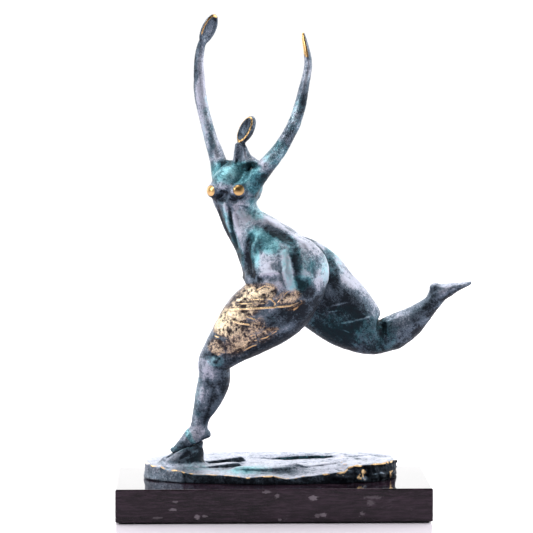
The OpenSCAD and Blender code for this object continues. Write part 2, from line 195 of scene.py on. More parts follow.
class Field:
    """Distances to a surface, in millimetres, on a box of voxels."""

    def __init__(self, low, high, voxel=VOXEL):
        self.voxel = voxel
        self.first = np.floor(np.array(low) / voxel).astype(int)
        self.shape = np.ceil(np.array(high) / voxel).astype(int) - self.first
        self.values = np.full(self.shape, BAND, np.float32)

    def window(self, low, high):
        """Slices of the box of voxels between two corners in millimetres, and their coordinates."""
        a = np.clip(np.floor(np.array(low) / self.voxel).astype(int) - self.first, 0, self.shape)
        b = np.clip(np.ceil(np.array(high) / self.voxel).astype(int) + 1 - self.first, 0,
                    self.shape)
        cut = tuple(slice(i, j) for i, j in zip(a, b))
        axes = [((np.arange(i, j) + f) * self.voxel).astype(np.float32)
                for i, j, f in zip(a, b, self.first)]
        return cut, np.meshgrid(*axes, indexing="ij", sparse=True)

    def join(self, cut, distance, k):
        self.values[cut] = soft_min(self.values[cut], distance, k)

    def carve(self, cut, distance, k):
        """Takes a shape away: distance is negative inside it."""
        self.values[cut] = -soft_min(-self.values[cut], distance, k)

    def add_limb(self, stations, k=1.0, squareness=0.0):
        self.add_tube(limb_rings(stations, squareness), k)

    def add_tube(self, rings, k):
        points, quads, triangles = closed_tube(rings)
        grid = vdb.FloatGrid.createLevelSetFromPolygons(
            points.astype(np.float32), triangles=triangles.astype(np.uint32),
            quads=quads.astype(np.uint32),
            transform=vdb.createLinearTransform(voxelSize=self.voxel),
            halfWidth=BAND / self.voxel)
        cut, _ = self.window(points.min(0) - BAND, points.max(0) + BAND)
        distance = np.empty([s.stop - s.start for s in cut], np.float32)
        grid.copyToArray(distance, ijk=[int(s.start + f) for s, f in zip(cut, self.first)])
        self.join(cut, distance, k)

    def ball_distance(self, centre, radii, axes=None):
        """An oval ball; the rows of axes are the directions of its radii."""
        centre = np.array(centre, float)
        reach = max(radii) + BAND
        cut, (x, y, z) = self.window(centre - reach, centre + reach)
        axes = np.eye(3) if axes is None else np.array(axes)
        offset = (x - centre[0], y - centre[1], z - centre[2])
        local = [sum(a * o for a, o in zip(axis, offset)) for axis in axes]
        k0 = np.sqrt(sum((l / r) ** 2 for l, r in zip(local, radii)))
        k1 = np.sqrt(sum((l / r ** 2) ** 2 for l, r in zip(local, radii))) + 1e-6
        return cut, np.clip(k0 * (k0 - 1) / k1, -BAND, BAND).astype(np.float32)

    def add_ball(self, centre, radii, k=1.0, axes=None):
        self.join(*self.ball_distance(centre, radii, axes), k)

    def carve_ball(self, centre, radii, k=0.5, axes=None):
        self.carve(*self.ball_distance(centre, radii, axes), k)

    def cord_distance(self, points, radii):
        """A round bar along a few points, with a radius at each point."""
        points = np.array(points, float)
        reach = max(radii) + 5.0
        cut, (x, y, z) = self.window(points.min(0) - reach, points.max(0) + reach)
        best = None
        for a, b, ra, rb in zip(points[:-1], points[1:], radii[:-1], radii[1:]):
            d = b - a
            t = ((x - a[0]) * d[0] + (y - a[1]) * d[1] + (z - a[2]) * d[2]) / (d @ d)
            t = np.clip(t, 0, 1)
            gap = np.sqrt((x - a[0] - t * d[0]) ** 2 + (y - a[1] - t * d[1]) ** 2
                          + (z - a[2] - t * d[2]) ** 2) - (ra + (rb - ra) * t)
            best = gap if best is None else np.minimum(best, gap)
        return cut, np.clip(best, -BAND, BAND).astype(np.float32)

    def add_cord(self, points, radii, k=1.0):
        self.join(*self.cord_distance(points, radii), k)

    def carve_cord(self, points, radii, k=0.5):
        self.carve(*self.cord_distance(points, radii), k)

    def skin(self):
        """Points in millimetres and four-sided faces of the surface."""
        grid = vdb.FloatGrid(BAND)
        grid.transform = vdb.createLinearTransform(voxelSize=self.voxel)
        grid.gridClass = vdb.GridClass.LEVEL_SET
        grid.copyFromArray(self.values, ijk=[int(i) for i in self.first])
        points, quads = grid.convertToQuads(isovalue=0.0)
        return np.array(points, float), np.array(quads)[:, ::-1]


# ---------------------------------------------------------------- the figure's form

TORSO = [
    (-18.6, 0, 226, 2.9, 3.0), (-18.8, 0, 219, 3.2, 3.4), (-18.6, 0.5, 214.0, 4.6, 4.8, -35),
    (-19.2, 1, 210.5, 12, 7.0, -35), (-20.2, 1, 204, 16.8, 9.6, -35),
    (-21.9, 0.5, 196, 16.4, 10.3, -30), (-21.5, 0, 187, 12.2, 9.5, -15),
    (-16.8, 0, 177, 12.8, 11), (-7.8, 0, 167, 16.9, 19), (2.0, 0, 154, 22.5, 24),
    (5.0, 0, 141, 19.5, 21), (6.0, 0, 133, 6, 8),
]
RIGHT_ARM = [
    (-28.4, 5, 193, 5.6, 6), (-30.4, 8, 204, 6.0, 6), (-32.8, 12, 215, 4.9, 4.9),
    (-35.9, 13, 224.5, 4.3, 4.4), (-38.9, 13.5, 234.5, 3.7, 3.8), (-41.5, 13.5, 244.5, 3.6, 3.5),
    (-43.4, 13, 254.5, 3.7, 3.5), (-44.1, 12.5, 264.5, 3.5, 3.2), (-44.4, 12, 274.5, 2.9, 2.9),
    (-43.3, 11.5, 283, 2.6, 2.3), (-41.6, 11.2, 288.5, 2.2, 1.9), (-39.4, 11, 293, 1.6, 1.4),
]
LEFT_ARM = [
    (-17.0, -4, 190, 4.6, 6), (-12.4, -6.5, 201, 5.8, 6.2), (-4.2, -11, 212, 5.2, 5.8),
    (2.7, -12, 220.3, 4.6, 5.1), (6.9, -12, 226.8, 4.1, 4.6), (10.9, -11.5, 233.8, 3.9, 4.1),
    (14.0, -11, 240.7, 3.8, 3.8), (16.8, -10, 250, 3.6, 3.5), (19.0, -9, 260, 2.9, 3.1),
    (20.8, -8, 268, 2.5, 2.8), (21.6, -7, 275, 2.3, 2.9), (20.6, -6, 282, 2.0, 3.8),
    (19.4, -5, 288, 1.6, 3.2), (18.5, -4.5, 292.8, 0.8, 1.4),
]
STANDING_LEG = [
    (10.0, -14, 150, 20, 13), (7.0, -14.5, 141, 24, 14), (2.2, -14.5, 129.3, 22, 14),
    (-11.9, -13.5, 118.2, 20.0, 13.5), (-22.5, -12, 108.5, 15.9, 12.5),
    (-30.2, -10, 100.4, 11.9, 11), (-35.2, -8, 93.5, 9.8, 9.6), (-35.1, -6.5, 86, 9.5, 8.6),
    (-35.7, -5.5, 80.3, 9.7, 8.4), (-39.1, -4.5, 70.3, 8.3, 7.4), (-43.1, -3, 60.2, 5.7, 5.4),
    (-44.5, -2, 54, 5.2, 4.6), (-45.4, -2, 50, 5.6, 4.4), (-48.2, -2, 46.6, 6.0, 4.6),
    (-53.2, -2.2, 42.6, 4.5, 4.7), (-57.6, -2.4, 39.6, 2.8, 4.4), (-61.0, -2.4, 37.4, 1.3, 3.0),
]
TRAILING_THIGH = [
    (8.0, 14, 152, 18, 12), (22.0, 14.5, 142.0, 22.6, 13.5), (34.0, 14.5, 129.8, 21.8, 14),
    (45.2, 14.5, 119.8, 20.2, 13.5), (55.0, 14, 111.8, 16.8, 12), (61.0, 13.5, 107.6, 13.0, 10.8),
    (65.8, 13.5, 106.6, 8.8, 8),
]
TRAILING_CALF = [
    (66.5, 13.5, 103.6, 7.4, 8.0), (72.8, 13.5, 107.6, 10.6, 9.2), (77.9, 13.5, 110.6, 10.4, 9),
    (85.4, 13.5, 115.0, 9.0, 8), (92.6, 13, 121.0, 6.7, 6.4), (98.6, 12.5, 126.8, 5.2, 5),
    (102.6, 12.5, 132.2, 5.5, 4.6), (108.8, 12.5, 135.1, 4.1, 4.8), (115.0, 12.5, 137.1, 2.4, 4.4),
    (120.2, 12.5, 138.6, 1.4, 3), (123.0, 12.5, 139.6, 0.8, 1.4),
]

HEAD_CENTRE = np.array([-15.6, 0.3, 233.8])
HEAD_LONG = unit([0.46, 0, 0.89])
FACE_OUT = unit([-0.606, -0.734, 0.309])
HEAD_SIDE = np.cross(HEAD_LONG, FACE_OUT)
HEAD_AXES = (FACE_OUT, HEAD_SIDE, HEAD_LONG)

PALM_CENTRE = np.array([-38.4, 10.2, 294.8])
PALM_LONG = unit([0.42, 0, 0.907])
PALM_OUT = unit(np.cross([0.8, 0.6, -0.37], PALM_LONG))
PALM_AXES = (PALM_OUT, np.cross(PALM_LONG, PALM_OUT), PALM_LONG)

SOLE_POINT = np.array([-47.0, -2.0, 42.6])
SOLE_SLOPE = math.tan(math.radians(23.5))


def figure_field():
    field = Field((-68, -34, 32), (130, 34, 309))
    field.add_limb(TORSO, squareness=0.03)
    field.add_limb(STANDING_LEG, k=2.5, squareness=0.04)
    field.add_ball((12, -13.5, 148), (22, 14.5, 22), k=4)
    far = Field((-20, -2, 84), (130, 34, 182))
    far.add_limb(TRAILING_THIGH, squareness=0.04)
    far.add_ball((14.6, 14, 146.4), (22.6, 14.5, 21.6), k=4)
    far.add_limb(TRAILING_CALF, k=2.2)
    far.add_ball((64.6, 13.5, 104.2), (9.0, 8.5, 8.8), k=3)
    far.add_ball((100.6, 12.5, 136.2), (3.4, 3.6, 3.2), k=1.2)
    far.carve_cord([(66.5, 2, 118.5), (69.0, 8, 113.5), (69.4, 4.5, 108.5)], [1.2, 1.0, 0.5], k=1.5)
    low = far.first - field.first
    cut = tuple(slice(a, a + n) for a, n in zip(low, far.shape))
    field.join(cut, far.values, 1.2)
    field.add_limb(RIGHT_ARM, k=4)
    field.add_limb(LEFT_ARM, k=4)
    breasts(field)
    neck_and_collar(field)
    head(field)
    palm(field)
    standing_foot(field)
    return field


def breasts(field):
    field.carve_ball((-23.0, -13.0, 194.8), (6.4, 3.6, 5.6), k=2.0)
    field.add_cord([(-18.0, -10.5, 200.5), (-13.5, -9.6, 205), (-8.0, -11, 210)],
                   [2.2, 2.4, 3.0], k=2.5)
    field.add_ball((-21.0, -9.6, 197.4), (5.3, 5.2, 4.8), k=1.8)
    field.carve_ball((-31.4, -9.6, 194.2), (4.0, 3.0, 4.2), k=1.6)
    field.add_ball((-34.6, -5.6, 197.3), (5.2, 5.6, 4.8), k=1.8)


def neck_and_collar(field):
    field.add_cord([(-24.5, -3.5, 209), (-22.6, -2.6, 216), (-21.4, -1.6, 225)],
                   [1.6, 1.1, 1.2], k=1.0)
    field.add_cord([(-15.0, -5.0, 212), (-16.6, -3.0, 217), (-17.0, -1.6, 224)],
                   [2.0, 1.5, 1.5], k=1.2)
    field.add_cord([(-17.2, 0.4, 223), (-14.6, -0.5, 217.5), (-10.4, -3.0, 213.5), (-5, -7, 211)],
                   [1.6, 2.0, 2.8, 3.2], k=2.0)
    field.add_cord([(-30.5, 7.5, 213), (-25, 3.5, 212.4), (-20, 2, 213)], [3.0, 2.6, 2.6], k=2.0)
    field.carve_ball((-27.6, -5.0, 214.6), (4.0, 4.6, 2.6), k=1.2)
    field.carve_ball((-12.8, -9.4, 212.6), (5.0, 4.0, 1.9), k=1.0)
    field.carve_cord([(-20.2, -5.6, 212.5), (-19.4, -4.4, 217), (-18.6, -3.8, 221)],
                     [0.9, 0.8, 0.6], k=0.8)


def head(field):
    field.add_ball(HEAD_CENTRE, (4.0, 4.9, 9.3), k=1.0, axes=HEAD_AXES)
    field.carve_ball(HEAD_CENTRE + 3.3 * FACE_OUT - 0.2 * HEAD_LONG, (2.3, 4.0, 8.0), k=0.3,
                     axes=HEAD_AXES)
    field.carve_ball((-13.4, 0.5, 225.2), (3.2, 5.0, 1.6), k=0.8)


def palm(field):
    field.add_ball(PALM_CENTRE, (1.9, 5.2, 10.0), k=1.2, axes=PALM_AXES)
    field.carve_ball(PALM_CENTRE + 1.7 * PALM_OUT + 0.3 * PALM_LONG, (1.6, 4.1, 8.4), k=0.3,
                     axes=PALM_AXES)


def standing_foot(field):
    field.add_ball((-41.0, -2, 48.2), (3.6, 3.5, 3.4), k=1.5)
    field.add_ball((-60.7, -3.2, 39.0), (1.6, 2.0, 1.5), k=0.5)
    cut, (x, _, z) = field.window((-75, -20, 28), (-30, 16, 60))
    below = (z - SOLE_POINT[2] - (x - SOLE_POINT[0]) * SOLE_SLOPE) * math.cos(math.atan(SOLE_SLOPE))
    field.carve(cut, np.broadcast_to(below, field.values[cut].shape).astype(np.float32), 0)


# ---------------------------------------------------------------- meshes


def make_mesh(name, points, faces):
    """A mesh object in metres from points in millimetres."""
    mesh = bpy.data.meshes.new(name)
    mesh.vertices.add(len(points))
    mesh.vertices.foreach_set("co", (np.array(points) * MM).ravel())
    faces = np.array(faces)
    count = faces.shape[1]
    mesh.loops.add(faces.size)
    mesh.loops.foreach_set("vertex_index", faces.ravel())
    mesh.polygons.add(len(faces))
    mesh.polygons.foreach_set("loop_start", np.arange(len(faces)) * count)
    mesh.update(calc_edges=True)
    mesh.validate()
    mesh.polygons.foreach_set("use_smooth", np.ones(len(mesh.polygons), bool))
    piece = bpy.data.objects.new(name, mesh)
    bpy.context.scene.collection.objects.link(piece)
    return piece


def quad_normals(points, quads):
    """Vertex normals, pointing out."""
    a, b, c, d = (points[quads[:, k]] for k in range(4))
    n = np.cross(c - a, d - b)
    total = np.zeros_like(points)
    for k in range(4):
        np.add.at(total, quads[:, k], n)
    return total / np.maximum(np.linalg.norm(total, axis=1), 1e-9)[:, None]


def relaxed(points, quads, rounds, share=0.5):
    """Points moved towards the middle of their neighbours."""
    edges = np.vstack([quads[:, [0, 1]], quads[:, [1, 2]], quads[:, [2, 3]], quads[:, [3, 0]]])
    count = np.zeros(len(points))
    np.add.at(count, edges[:, 0], 1)
    np.add.at(count, edges[:, 1], 1)
    for _ in range(rounds):
        total = np.zeros_like(points)
        for k in range(3):
            total[:, k] = (np.bincount(edges[:, 0], points[edges[:, 1], k], len(points))
                           + np.bincount(edges[:, 1], points[edges[:, 0], k], len(points)))
        points = points + share * (total / np.maximum(count, 1)[:, None] - points)
    return points


def set_number(piece, name, values):
    """A number on each vertex, for the materials to read."""
    made = piece.data.attributes.new(name, "FLOAT", "POINT")
    made.data.foreach_set("value", np.asarray(values, np.float32))


# ---------------------------------------------------------------- marks cut into the figure

DOWEL_D, DOWEL_L = 3.0, 14.0
HIP_DOWEL_D, HIP_DOWEL_L, HIP_DOWEL_GAP = 6.0, 24.0, 16.0
STUD_D, STUD_GRIP = 4.0, 9.0
TOE_DOWEL_D, TOE_DOWEL_L, TOE_DOWEL_GAP = 2.0, 7.0, 8.0
HOLE_CLEARANCE = 0.25

# Each casting that is cut off the torso: node, point and axis of its joint plane, and the
# box of space it is in.
NECK = ("head", (-18.3, 0, 221.5), (0, 0, 1), lambda c: (c[:, 0] > -24) & (c[:, 0] < -7.5))
RIGHT_SHOULDER = ("right_arm", (-32.4, 12, 215.6), (-0.25, 0.08, 0.96), lambda c: c[:, 0] < -24.5)
LEFT_SHOULDER = ("left_arm", (-0.6, -11, 214), (0.66, 0, 0.75),
                 lambda c: (c[:, 0] > -7) & (c[:, 2] > 195))
STANDING_HIP = ("standing_leg", (2, -14.5, 130), (-0.6, 0.04, -0.8),
                lambda c: (c[:, 1] < 0) | (c[:, 0] < -6))
TRAILING_HIP = ("trailing_leg", (25, 14, 139), (0.8, 0, -0.6),
                lambda c: (c[:, 1] > 0) & (c[:, 0] > 0))
JOINTS = (NECK, RIGHT_SHOULDER, LEFT_SHOULDER, STANDING_HIP, TRAILING_HIP)


def joint_rods():
    """Centre, axis, diameter and length of each dowel across a joint plane."""
    rods = [(point, axis, DOWEL_D, DOWEL_L)
            for _, point, axis, _ in (NECK, RIGHT_SHOULDER, LEFT_SHOULDER)]
    for _, point, axis, _ in (STANDING_HIP, TRAILING_HIP):
        along = unit(np.cross([0, 1, 0], axis))
        rods += [(point + side * HIP_DOWEL_GAP / 2 * along, axis, HIP_DOWEL_D, HIP_DOWEL_L)
                 for side in (-1, 1)]
    return rods


def bores(field):
    """Holes for the dowels, the foot stud and the locating dowel."""
    up = (0, 0, 1)
    toe = SOLE_POINT - (TOE_DOWEL_GAP, 0, SOLE_SLOPE * TOE_DOWEL_GAP + 0.5)
    for rod in joint_rods():
        carve_rod(field, *rod)
    carve_rod(field, SOLE_POINT + (0, 0, STUD_GRIP / 2), up, STUD_D, 2 * STUD_GRIP)
    carve_rod(field, toe, up, TOE_DOWEL_D, TOE_DOWEL_L)


def carve_rod(field, centre, axis, diameter, length):
    axis = unit(axis)
    centre = np.array(centre, float)
    r = diameter / 2 + HOLE_CLEARANCE
    ends = [centre - axis * (length / 2 - r + 1), centre + axis * (length / 2 - r + 1)]
    field.carve_cord(ends, [r, r], k=0)


def sample(field, p):
    """Field distance at each point, between voxels."""
    q = p / field.voxel - field.first
    q = np.clip(q, 0, np.array(field.shape) - 1.001)
    cell = q.astype(int)
    f = q - cell
    total = np.zeros(len(p))
    for corner in np.ndindex(2, 2, 2):
        wx, wy, wz = np.abs(1 - np.array(corner) - f).T
        total += wx * wy * wz * field.values[tuple((cell + corner).T)]
    return total


def line_gap(p, line):
    """Distance in the XZ plane to a line of points, and how far along it, from 0 to 1."""
    line = np.array(line, float)
    best = np.full(len(p), 1e9)
    place = np.zeros(len(p))
    parts = len(line) - 1
    for i in range(parts):
        a, d = line[i], line[i + 1] - line[i]
        t = np.clip(((p[:, 0] - a[0]) * d[0] + (p[:, 2] - a[1]) * d[1]) / (d @ d), 0, 1)
        gap = np.hypot(p[:, 0] - a[0] - t * d[0], p[:, 2] - a[1] - t * d[1])
        closer = gap < best
        best[closer] = gap[closer]
        place[closer] = (i + t[closer]) / parts
    return best, place


def spot(p, x, z, rx, rz, lean=0.0):
    """1 inside an oval of the XZ plane, fading to 0 at its edge."""
    c, s = math.cos(math.radians(lean)), math.sin(math.radians(lean))
    u = (p[:, 0] - x) * c + (p[:, 2] - z) * s
    w = (p[:, 2] - z) * c - (p[:, 0] - x) * s
    return 1 - fade(0.55, 1.25, np.hypot(u / rx, w / rz))


# Lines cut or raised on the near side: points x, z, then width and height of the line.
NEAR_MARKS = [
    ([(-29.4, 191), (-27.8, 183), (-26.7, 177.3), (-25.0, 171)], 1.2, 0.9),
    ([(-26.0, 189.5), (-25.7, 181.4), (-25.0, 174.5), (-22.9, 167.5), (-21.5, 160)], 1.1, -1.4),
    ([(-33.6, 187.5), (-31.2, 180.0), (-28.3, 173.5), (-25.5, 166)], 1.2, -1.0),
    ([(-11.8, 173), (-14.6, 166), (-15.6, 160.5), (-14.8, 153.6), (-12.2, 144.5)], 1.7, -1.9),
    ([(-9.0, 170), (-12.2, 163), (-12.4, 156)], 1.6, 0.7),
    ([(-18.6, 158), (-17.4, 151), (-15.4, 144)], 0.8, 0.6),
    ([(-20.6, 160), (-19.6, 152), (-17.6, 145)], 0.7, -0.6),
    ([(-9.5, 146.6), (-5.5, 148.4), (-1.0, 149.2), (4.6, 149.0)], 1.1, 0.9),
    ([(-10, 144.4), (-4, 145.4), (3, 145.8)], 1.3, -0.7),
    ([(4.6, 163), (7.4, 156), (9.6, 149), (10.0, 143), (9.0, 138)], 3.0, 0.5),
    ([(12.5, 161), (12.6, 154), (14.2, 147), (18.6, 139.6)], 2.4, -0.8),
    ([(-6, 177.4), (2.8, 173.4), (9, 169), (14, 164)], 2.2, -0.9),
    ([(-8, 181.4), (1.4, 176.9), (9.0, 172.7), (16.7, 167.8), (23.4, 162.6)], 1.3, 0.8),
    ([(-37.4, 99.4), (-34.6, 98.2), (-32.6, 96.0), (-34.2, 94.0), (-36.4, 94.8)], 0.8, -0.9),
    ([(-36.2, 96.6), (-34.8, 96.2)], 0.9, 0.6),
    ([(-34.4, 76), (-37.6, 67), (-40.2, 60), (-41.8, 53)], 1.2, -0.8),
    ([(-41.6, 90), (-41.8, 80), (-44.2, 68), (-47.6, 56)], 1.4, 0.4),
]
THIGH_LINES = [
    ([(-29.8, 126.0), (-16.7, 127.1), (-1.4, 128.2), (9.7, 129.1), (19.4, 132.6)], 0.62, 0.75),
    ([(-18.4, 132.2), (-8.3, 133.0), (-1.4, 133.3), (1.2, 130.5), (0.0, 128.6)], 0.5, 0.5),
    ([(-24, 130.0), (-14, 130.4), (-4, 130.6)], 0.4, 0.4),
    ([(-25.4, 119.8), (-19.5, 118.3), (-13.6, 117.6)], 0.6, 0.6),
    ([(-16.4, 122.6), (-10.4, 120.8)], 0.45, 0.4),
    ([(1.6, 130.2), (5.2, 134.6), (8.4, 137.6), (12.8, 139.8)], 0.4, 0.25),
    ([(11.6, 126.4), (14.4, 128.2), (17.4, 131.0)], 0.5, 0.35),
    ([(-10.8, 138.0), (-5.6, 141.0), (0.2, 140.2)], 0.4, 0.25),
    ([(-36.0, 110.4), (-30.4, 109.0), (-26.6, 109.4)], 0.4, 0.4),
    ([(-12.5, 107.5), (-4.0, 109.8), (3.0, 114.6)], 0.4, 0.35),
    ([(-4.4, 117.8), (-8.6, 113.2), (-14.8, 110.2)], 0.4, 0.35),
    ([(-18.4, 101.4), (-12.2, 104.6), (-6.6, 106.0)], 0.4, 0.35),
]
FAR_THIGH_LINES = [
    ([(36, 126.4), (42, 127.6), (47, 128.6)], 0.5, 0.4),
    ([(41, 115.4), (50, 117.0), (61, 119.8)], 0.55, 0.5),
    ([(43, 111.6), (48, 109.6)], 0.45, 0.35),
    ([(34, 122.5), (42, 123.6)], 0.4, 0.3),
]


def ridge(p, mark, blur=1.0):
    line, width, height = mark
    gap, place = line_gap(p, line)
    ends = fade(0, 0.12, place) * fade(0, 0.12, 1 - place)
    return np.exp(-(gap / (width * blur)) ** 2) * ends * math.copysign(1, height), abs(height)


def limb_direction(p):
    """Direction of the limb that each point is on, for streaks along it."""
    d = np.zeros_like(p)
    d[:] = (0.05, 0, 1)
    chest = p[:, 2] < 205
    d[chest] = (-0.35, 0, 0.94)
    near_thigh = (p[:, 1] < 0) & (p[:, 2] < 135)
    d[near_thigh] = (0.78, 0, 0.62)
    far_thigh = (p[:, 1] > 0) & (p[:, 2] < 150) & (p[:, 0] > 12)
    d[far_thigh] = (-0.7, 0, 0.71)
    calf = (p[:, 0] > 69) & (p[:, 1] > 0)
    d[calf] = (0.85, 0, 0.5)
    shin = (p[:, 2] < 96) & (p[:, 0] < -10)
    d[shin] = (0.25, 0, 0.97)
    return d / np.linalg.norm(d, axis=1)[:, None]


def streak_noise(p, size, stretch, seed):
    """Noise drawn out along the limb."""
    d = limb_direction(p)
    along = np.einsum("ij,ij->i", p, d)[:, None]
    return layered_noise(p - d * along * (1 - 1 / stretch), size, 3, seed)


def gold_zone(p, n):
    """Where the patina is rubbed off to bright bronze, from 0 to 1, less in a patch of painted
    shade on the thigh.
    """
    near = fade(-0.35, 0.1, -n[:, 1]) * (p[:, 1] < 2)
    thigh = np.maximum.reduce([
        spot(p, -14, 132, 15, 9, 36) * 0.85, spot(p, -26, 119, 12, 10, 50) * 0.85,
        spot(p, -6, 137, 9, 6, 15) * 0.8, spot(p, -18, 110, 18, 9, 40) * 0.5,
        spot(p, 8, 133, 10, 6, 30) * 0.5, spot(p, 12, 129, 8, 3, 24) * 0.55,
        spot(p, -34, 104, 6, 6, 40) * 0.55, spot(p, -5, 111, 11, 4.5, 33) * 0.42,
    ])
    # a patch of painted shade across the thigh, where the gold is held back
    shade = spot(p, 4, 121.5, 10, 5.5, 15)
    return thigh * (1 - 0.85 * shade) * (p[:, 2] < 147) * near


def tips(p):
    """Small polished places: breasts, rims of face and palm, the left hand."""
    def near(centre, reach):
        return 1 - fade(0.75, 1.1, np.linalg.norm(p - np.array(centre, float), axis=1) / reach)

    found = near((-20.4, -15.0, 198.2), 3.9)
    found = np.maximum(found, near((-38.4, -9.6, 197.4), 3.9))
    rim = rim_of(p, HEAD_CENTRE + 3.0 * FACE_OUT, HEAD_AXES, 4.2, 8.2)
    found = np.maximum(found, rim * (p[:, 2] > 222))
    rim = rim_of(p, PALM_CENTRE + 1.3 * PALM_OUT + 0.3 * PALM_LONG, PALM_AXES, 4.3, 8.8)
    rim *= fade(-1.0, 2.5, (p - PALM_CENTRE) @ unit((-0.75, 0, 0.66)))
    found = np.maximum(found, 0.9 * rim * (p[:, 2] > 284) * (p[:, 0] < 0))
    blade = fade(276, 282, p[:, 2] + 2.5 * layered_noise(p, 3.0, 2, 59)) * (p[:, 0] > 0)
    blade *= fade(2.5, 6.0, -p[:, 1])
    middle = 21.8 - (p[:, 2] - 276) * 0.194
    found = np.maximum(found, blade * fade(-0.3, 0.4, middle + 0.5 - p[:, 0]))
    return found


def rim_of(p, centre, axes, half_width, half_length):
    q = p - centre
    out, side, along = (q @ a for a in axes)
    r = np.hypot(side / half_width, along / half_length)
    return (1 - fade(0.06, 0.15, np.abs(r - 1.0))) * (1 - fade(0.8, 1.8, np.abs(out)))


def drawn_lines(p, n, gold):
    """Height of the cut and raised lines, gold lines, pale scratches, and the gold, held back
    beside the gold lines as painted shadow.
    """
    front = fade(-0.1, 0.35, -n[:, 1])
    near, far_side = front * (p[:, 1] < 3), front * (p[:, 1] >= -1)
    cut, lines, scratch = np.zeros((3, len(p)))
    for mark in NEAR_MARKS:
        shape, height = ridge(p, mark)
        cut += shape * height * near
    broken = fade(-0.55, 0.1, layered_noise(p, 4.5, 2, 37))
    for mark in THIGH_LINES:
        shape, height = ridge(p, mark)
        shape *= 0.35 + 0.65 * broken
        groove, _ = ridge(p, mark, 2.4)
        cut += (shape * height - 0.45 * height * groove) * near
        lines = np.maximum(lines, shape * near)
        # painted shadow: less gold in a band beside each line
        gold = gold * (1 - 0.75 * groove * (1 - shape))
    for mark in FAR_THIGH_LINES:
        shape, height = ridge(p, mark)
        groove, _ = ridge(p, mark, 2.2)
        cut += (shape * height - 0.35 * height * groove) * far_side
        scratch = np.maximum(scratch, shape * far_side)
    return cut, lines, scratch, gold


def cast_texture(field, p, n, gold, lines, polished):
    """Height of the bumps, streaks, dents, curls and pits; less on thin and polished places."""
    rough = 1 - 0.85 * polished
    thick = fade(1.2, 3.5, -sample(field, p - n * 4.0))
    move = rough * 0.30 * layered_noise(p, 9.0, 2, 3) * (0.4 + 0.6 * thick)
    move += rough * 0.20 * streak_noise(p, 2.6, 3.5, 11)
    dents = fade(0.0, 0.75, cell_noise(p, 2.1, 5)) - 0.5
    move += rough * (0.10 + 0.16 * gold) * dents * (0.35 + 0.65 * thick)
    curl = np.abs(layered_noise(p, 1.7, 2, 23))
    move += rough * 0.11 * (1 - 2.5 * curl)
    move -= 0.35 * (fade(0.35, 0.75, layered_noise(p, 3.4, 3, 31)) * gold)
    move -= 0.45 * fade(0.25, 0.6, layered_noise(p, 6.0, 2, 47)) * gold * (1 - lines)
    return move * (1 - 0.5 * fade(262, 290, p[:, 2]))


def sculpt(field, p, n):
    """Displaced points and the numbers on them that the bronze's material reads."""
    cut, lines, scratch, gold = drawn_lines(p, n, gold_zone(p, n))
    polished = tips(p)
    bore = inside_bore(p)
    move = np.where(bore, 0, cast_texture(field, p, n, gold, lines, polished))
    cut = np.where(bore, 0, cut)
    cavity = crevice(field, p, n)
    # pale is painted highlight from the pale spots, upward faces and raised lines, plus the pale
    # scratches; dark is painted shade, deepest in the cut grooves.
    pale = painted_highlight_zone(p, n) + 0.9 * np.clip(cut, 0, 1) + 1.2 * scratch
    return p + n * (move + cut)[:, None], {
        "gold": np.clip(gold, 0, 1), "line": lines, "polished": polished, "cavity": cavity,
        "height": move, "teal": teal_zone(p, cavity), "pale": np.clip(pale, 0, 1.6),
        "dark": np.clip(painted_shade_zone(p, n) + 0.9 * np.clip(-cut, 0, 1), 0, 1),
    }


def crevice(field, p, n):
    """How closed in each point is, from 0 in the open to 1 in a narrow crease."""
    total = np.zeros(len(p))
    for reach in (1.5, 3.0, 5.5):
        total += np.clip((reach - sample(field, p + n * reach)) / reach, -0.2, 1)
    return np.clip(total / 3, 0, 1)


def inside_bore(p):
    """Which points are on the wall of a dowel's or the stud's hole."""
    found = np.zeros(len(p), bool)
    stud = (SOLE_POINT + (0, 0, STUD_GRIP / 2), (0, 0, 1), STUD_D, STUD_GRIP + 2)
    for centre, axis, diameter, length in joint_rods() + [stud]:
        axis = unit(axis)
        q = p - np.array(centre, float)
        t = q @ axis
        off = np.linalg.norm(q - t[:, None] * axis, axis=1)
        found |= (off < diameter / 2 + HOLE_CLEARANCE + 0.8) & (np.abs(t) < length / 2 + 1.5)
    return found


# Patches of teal patina, of painted highlight and of painted shade on the whole figure, on its
# near side and on its far side: strength, then an oval spot's x, z, half width, half height and
# lean.
TEAL_SPOTS = {
    "all": [(1.0, -22, 208, 20, 8), (0.8, -10, 202, 8, 8), (0.6, -34, 95, 6, 4.5),
            (0.45, 66, 108, 14, 14), (0.5, 45, 112, 26, 16), (0.3, -58, 40, 6, 4),
            (0.7, -24, 170, 3, 22, 20), (0.55, 2, 220, 10, 14, 45), (0.35, -38, 236, 6, 24),
            (0.45, 36, 152, 10, 12, -40), (0.6, -9, 187, 7, 9), (0.3, -17, 182, 6, 9),
            (0.35, 14, 242, 8, 14), (0.7, -52, 50, 2.2, 11, 30), (0.35, -46, 70, 4, 20)],
    "near": [(0.9, -6, 168, 12, 7, -30), (0.8, -11.5, 160, 4, 10, 10),
             (0.55, 8, 165, 13, 7, -30), (0.7, 16, 143, 9, 6, 20), (0.5, 20, 153, 8, 9),
             (0.5, 8.5, 151, 3.4, 13, 10)],
}
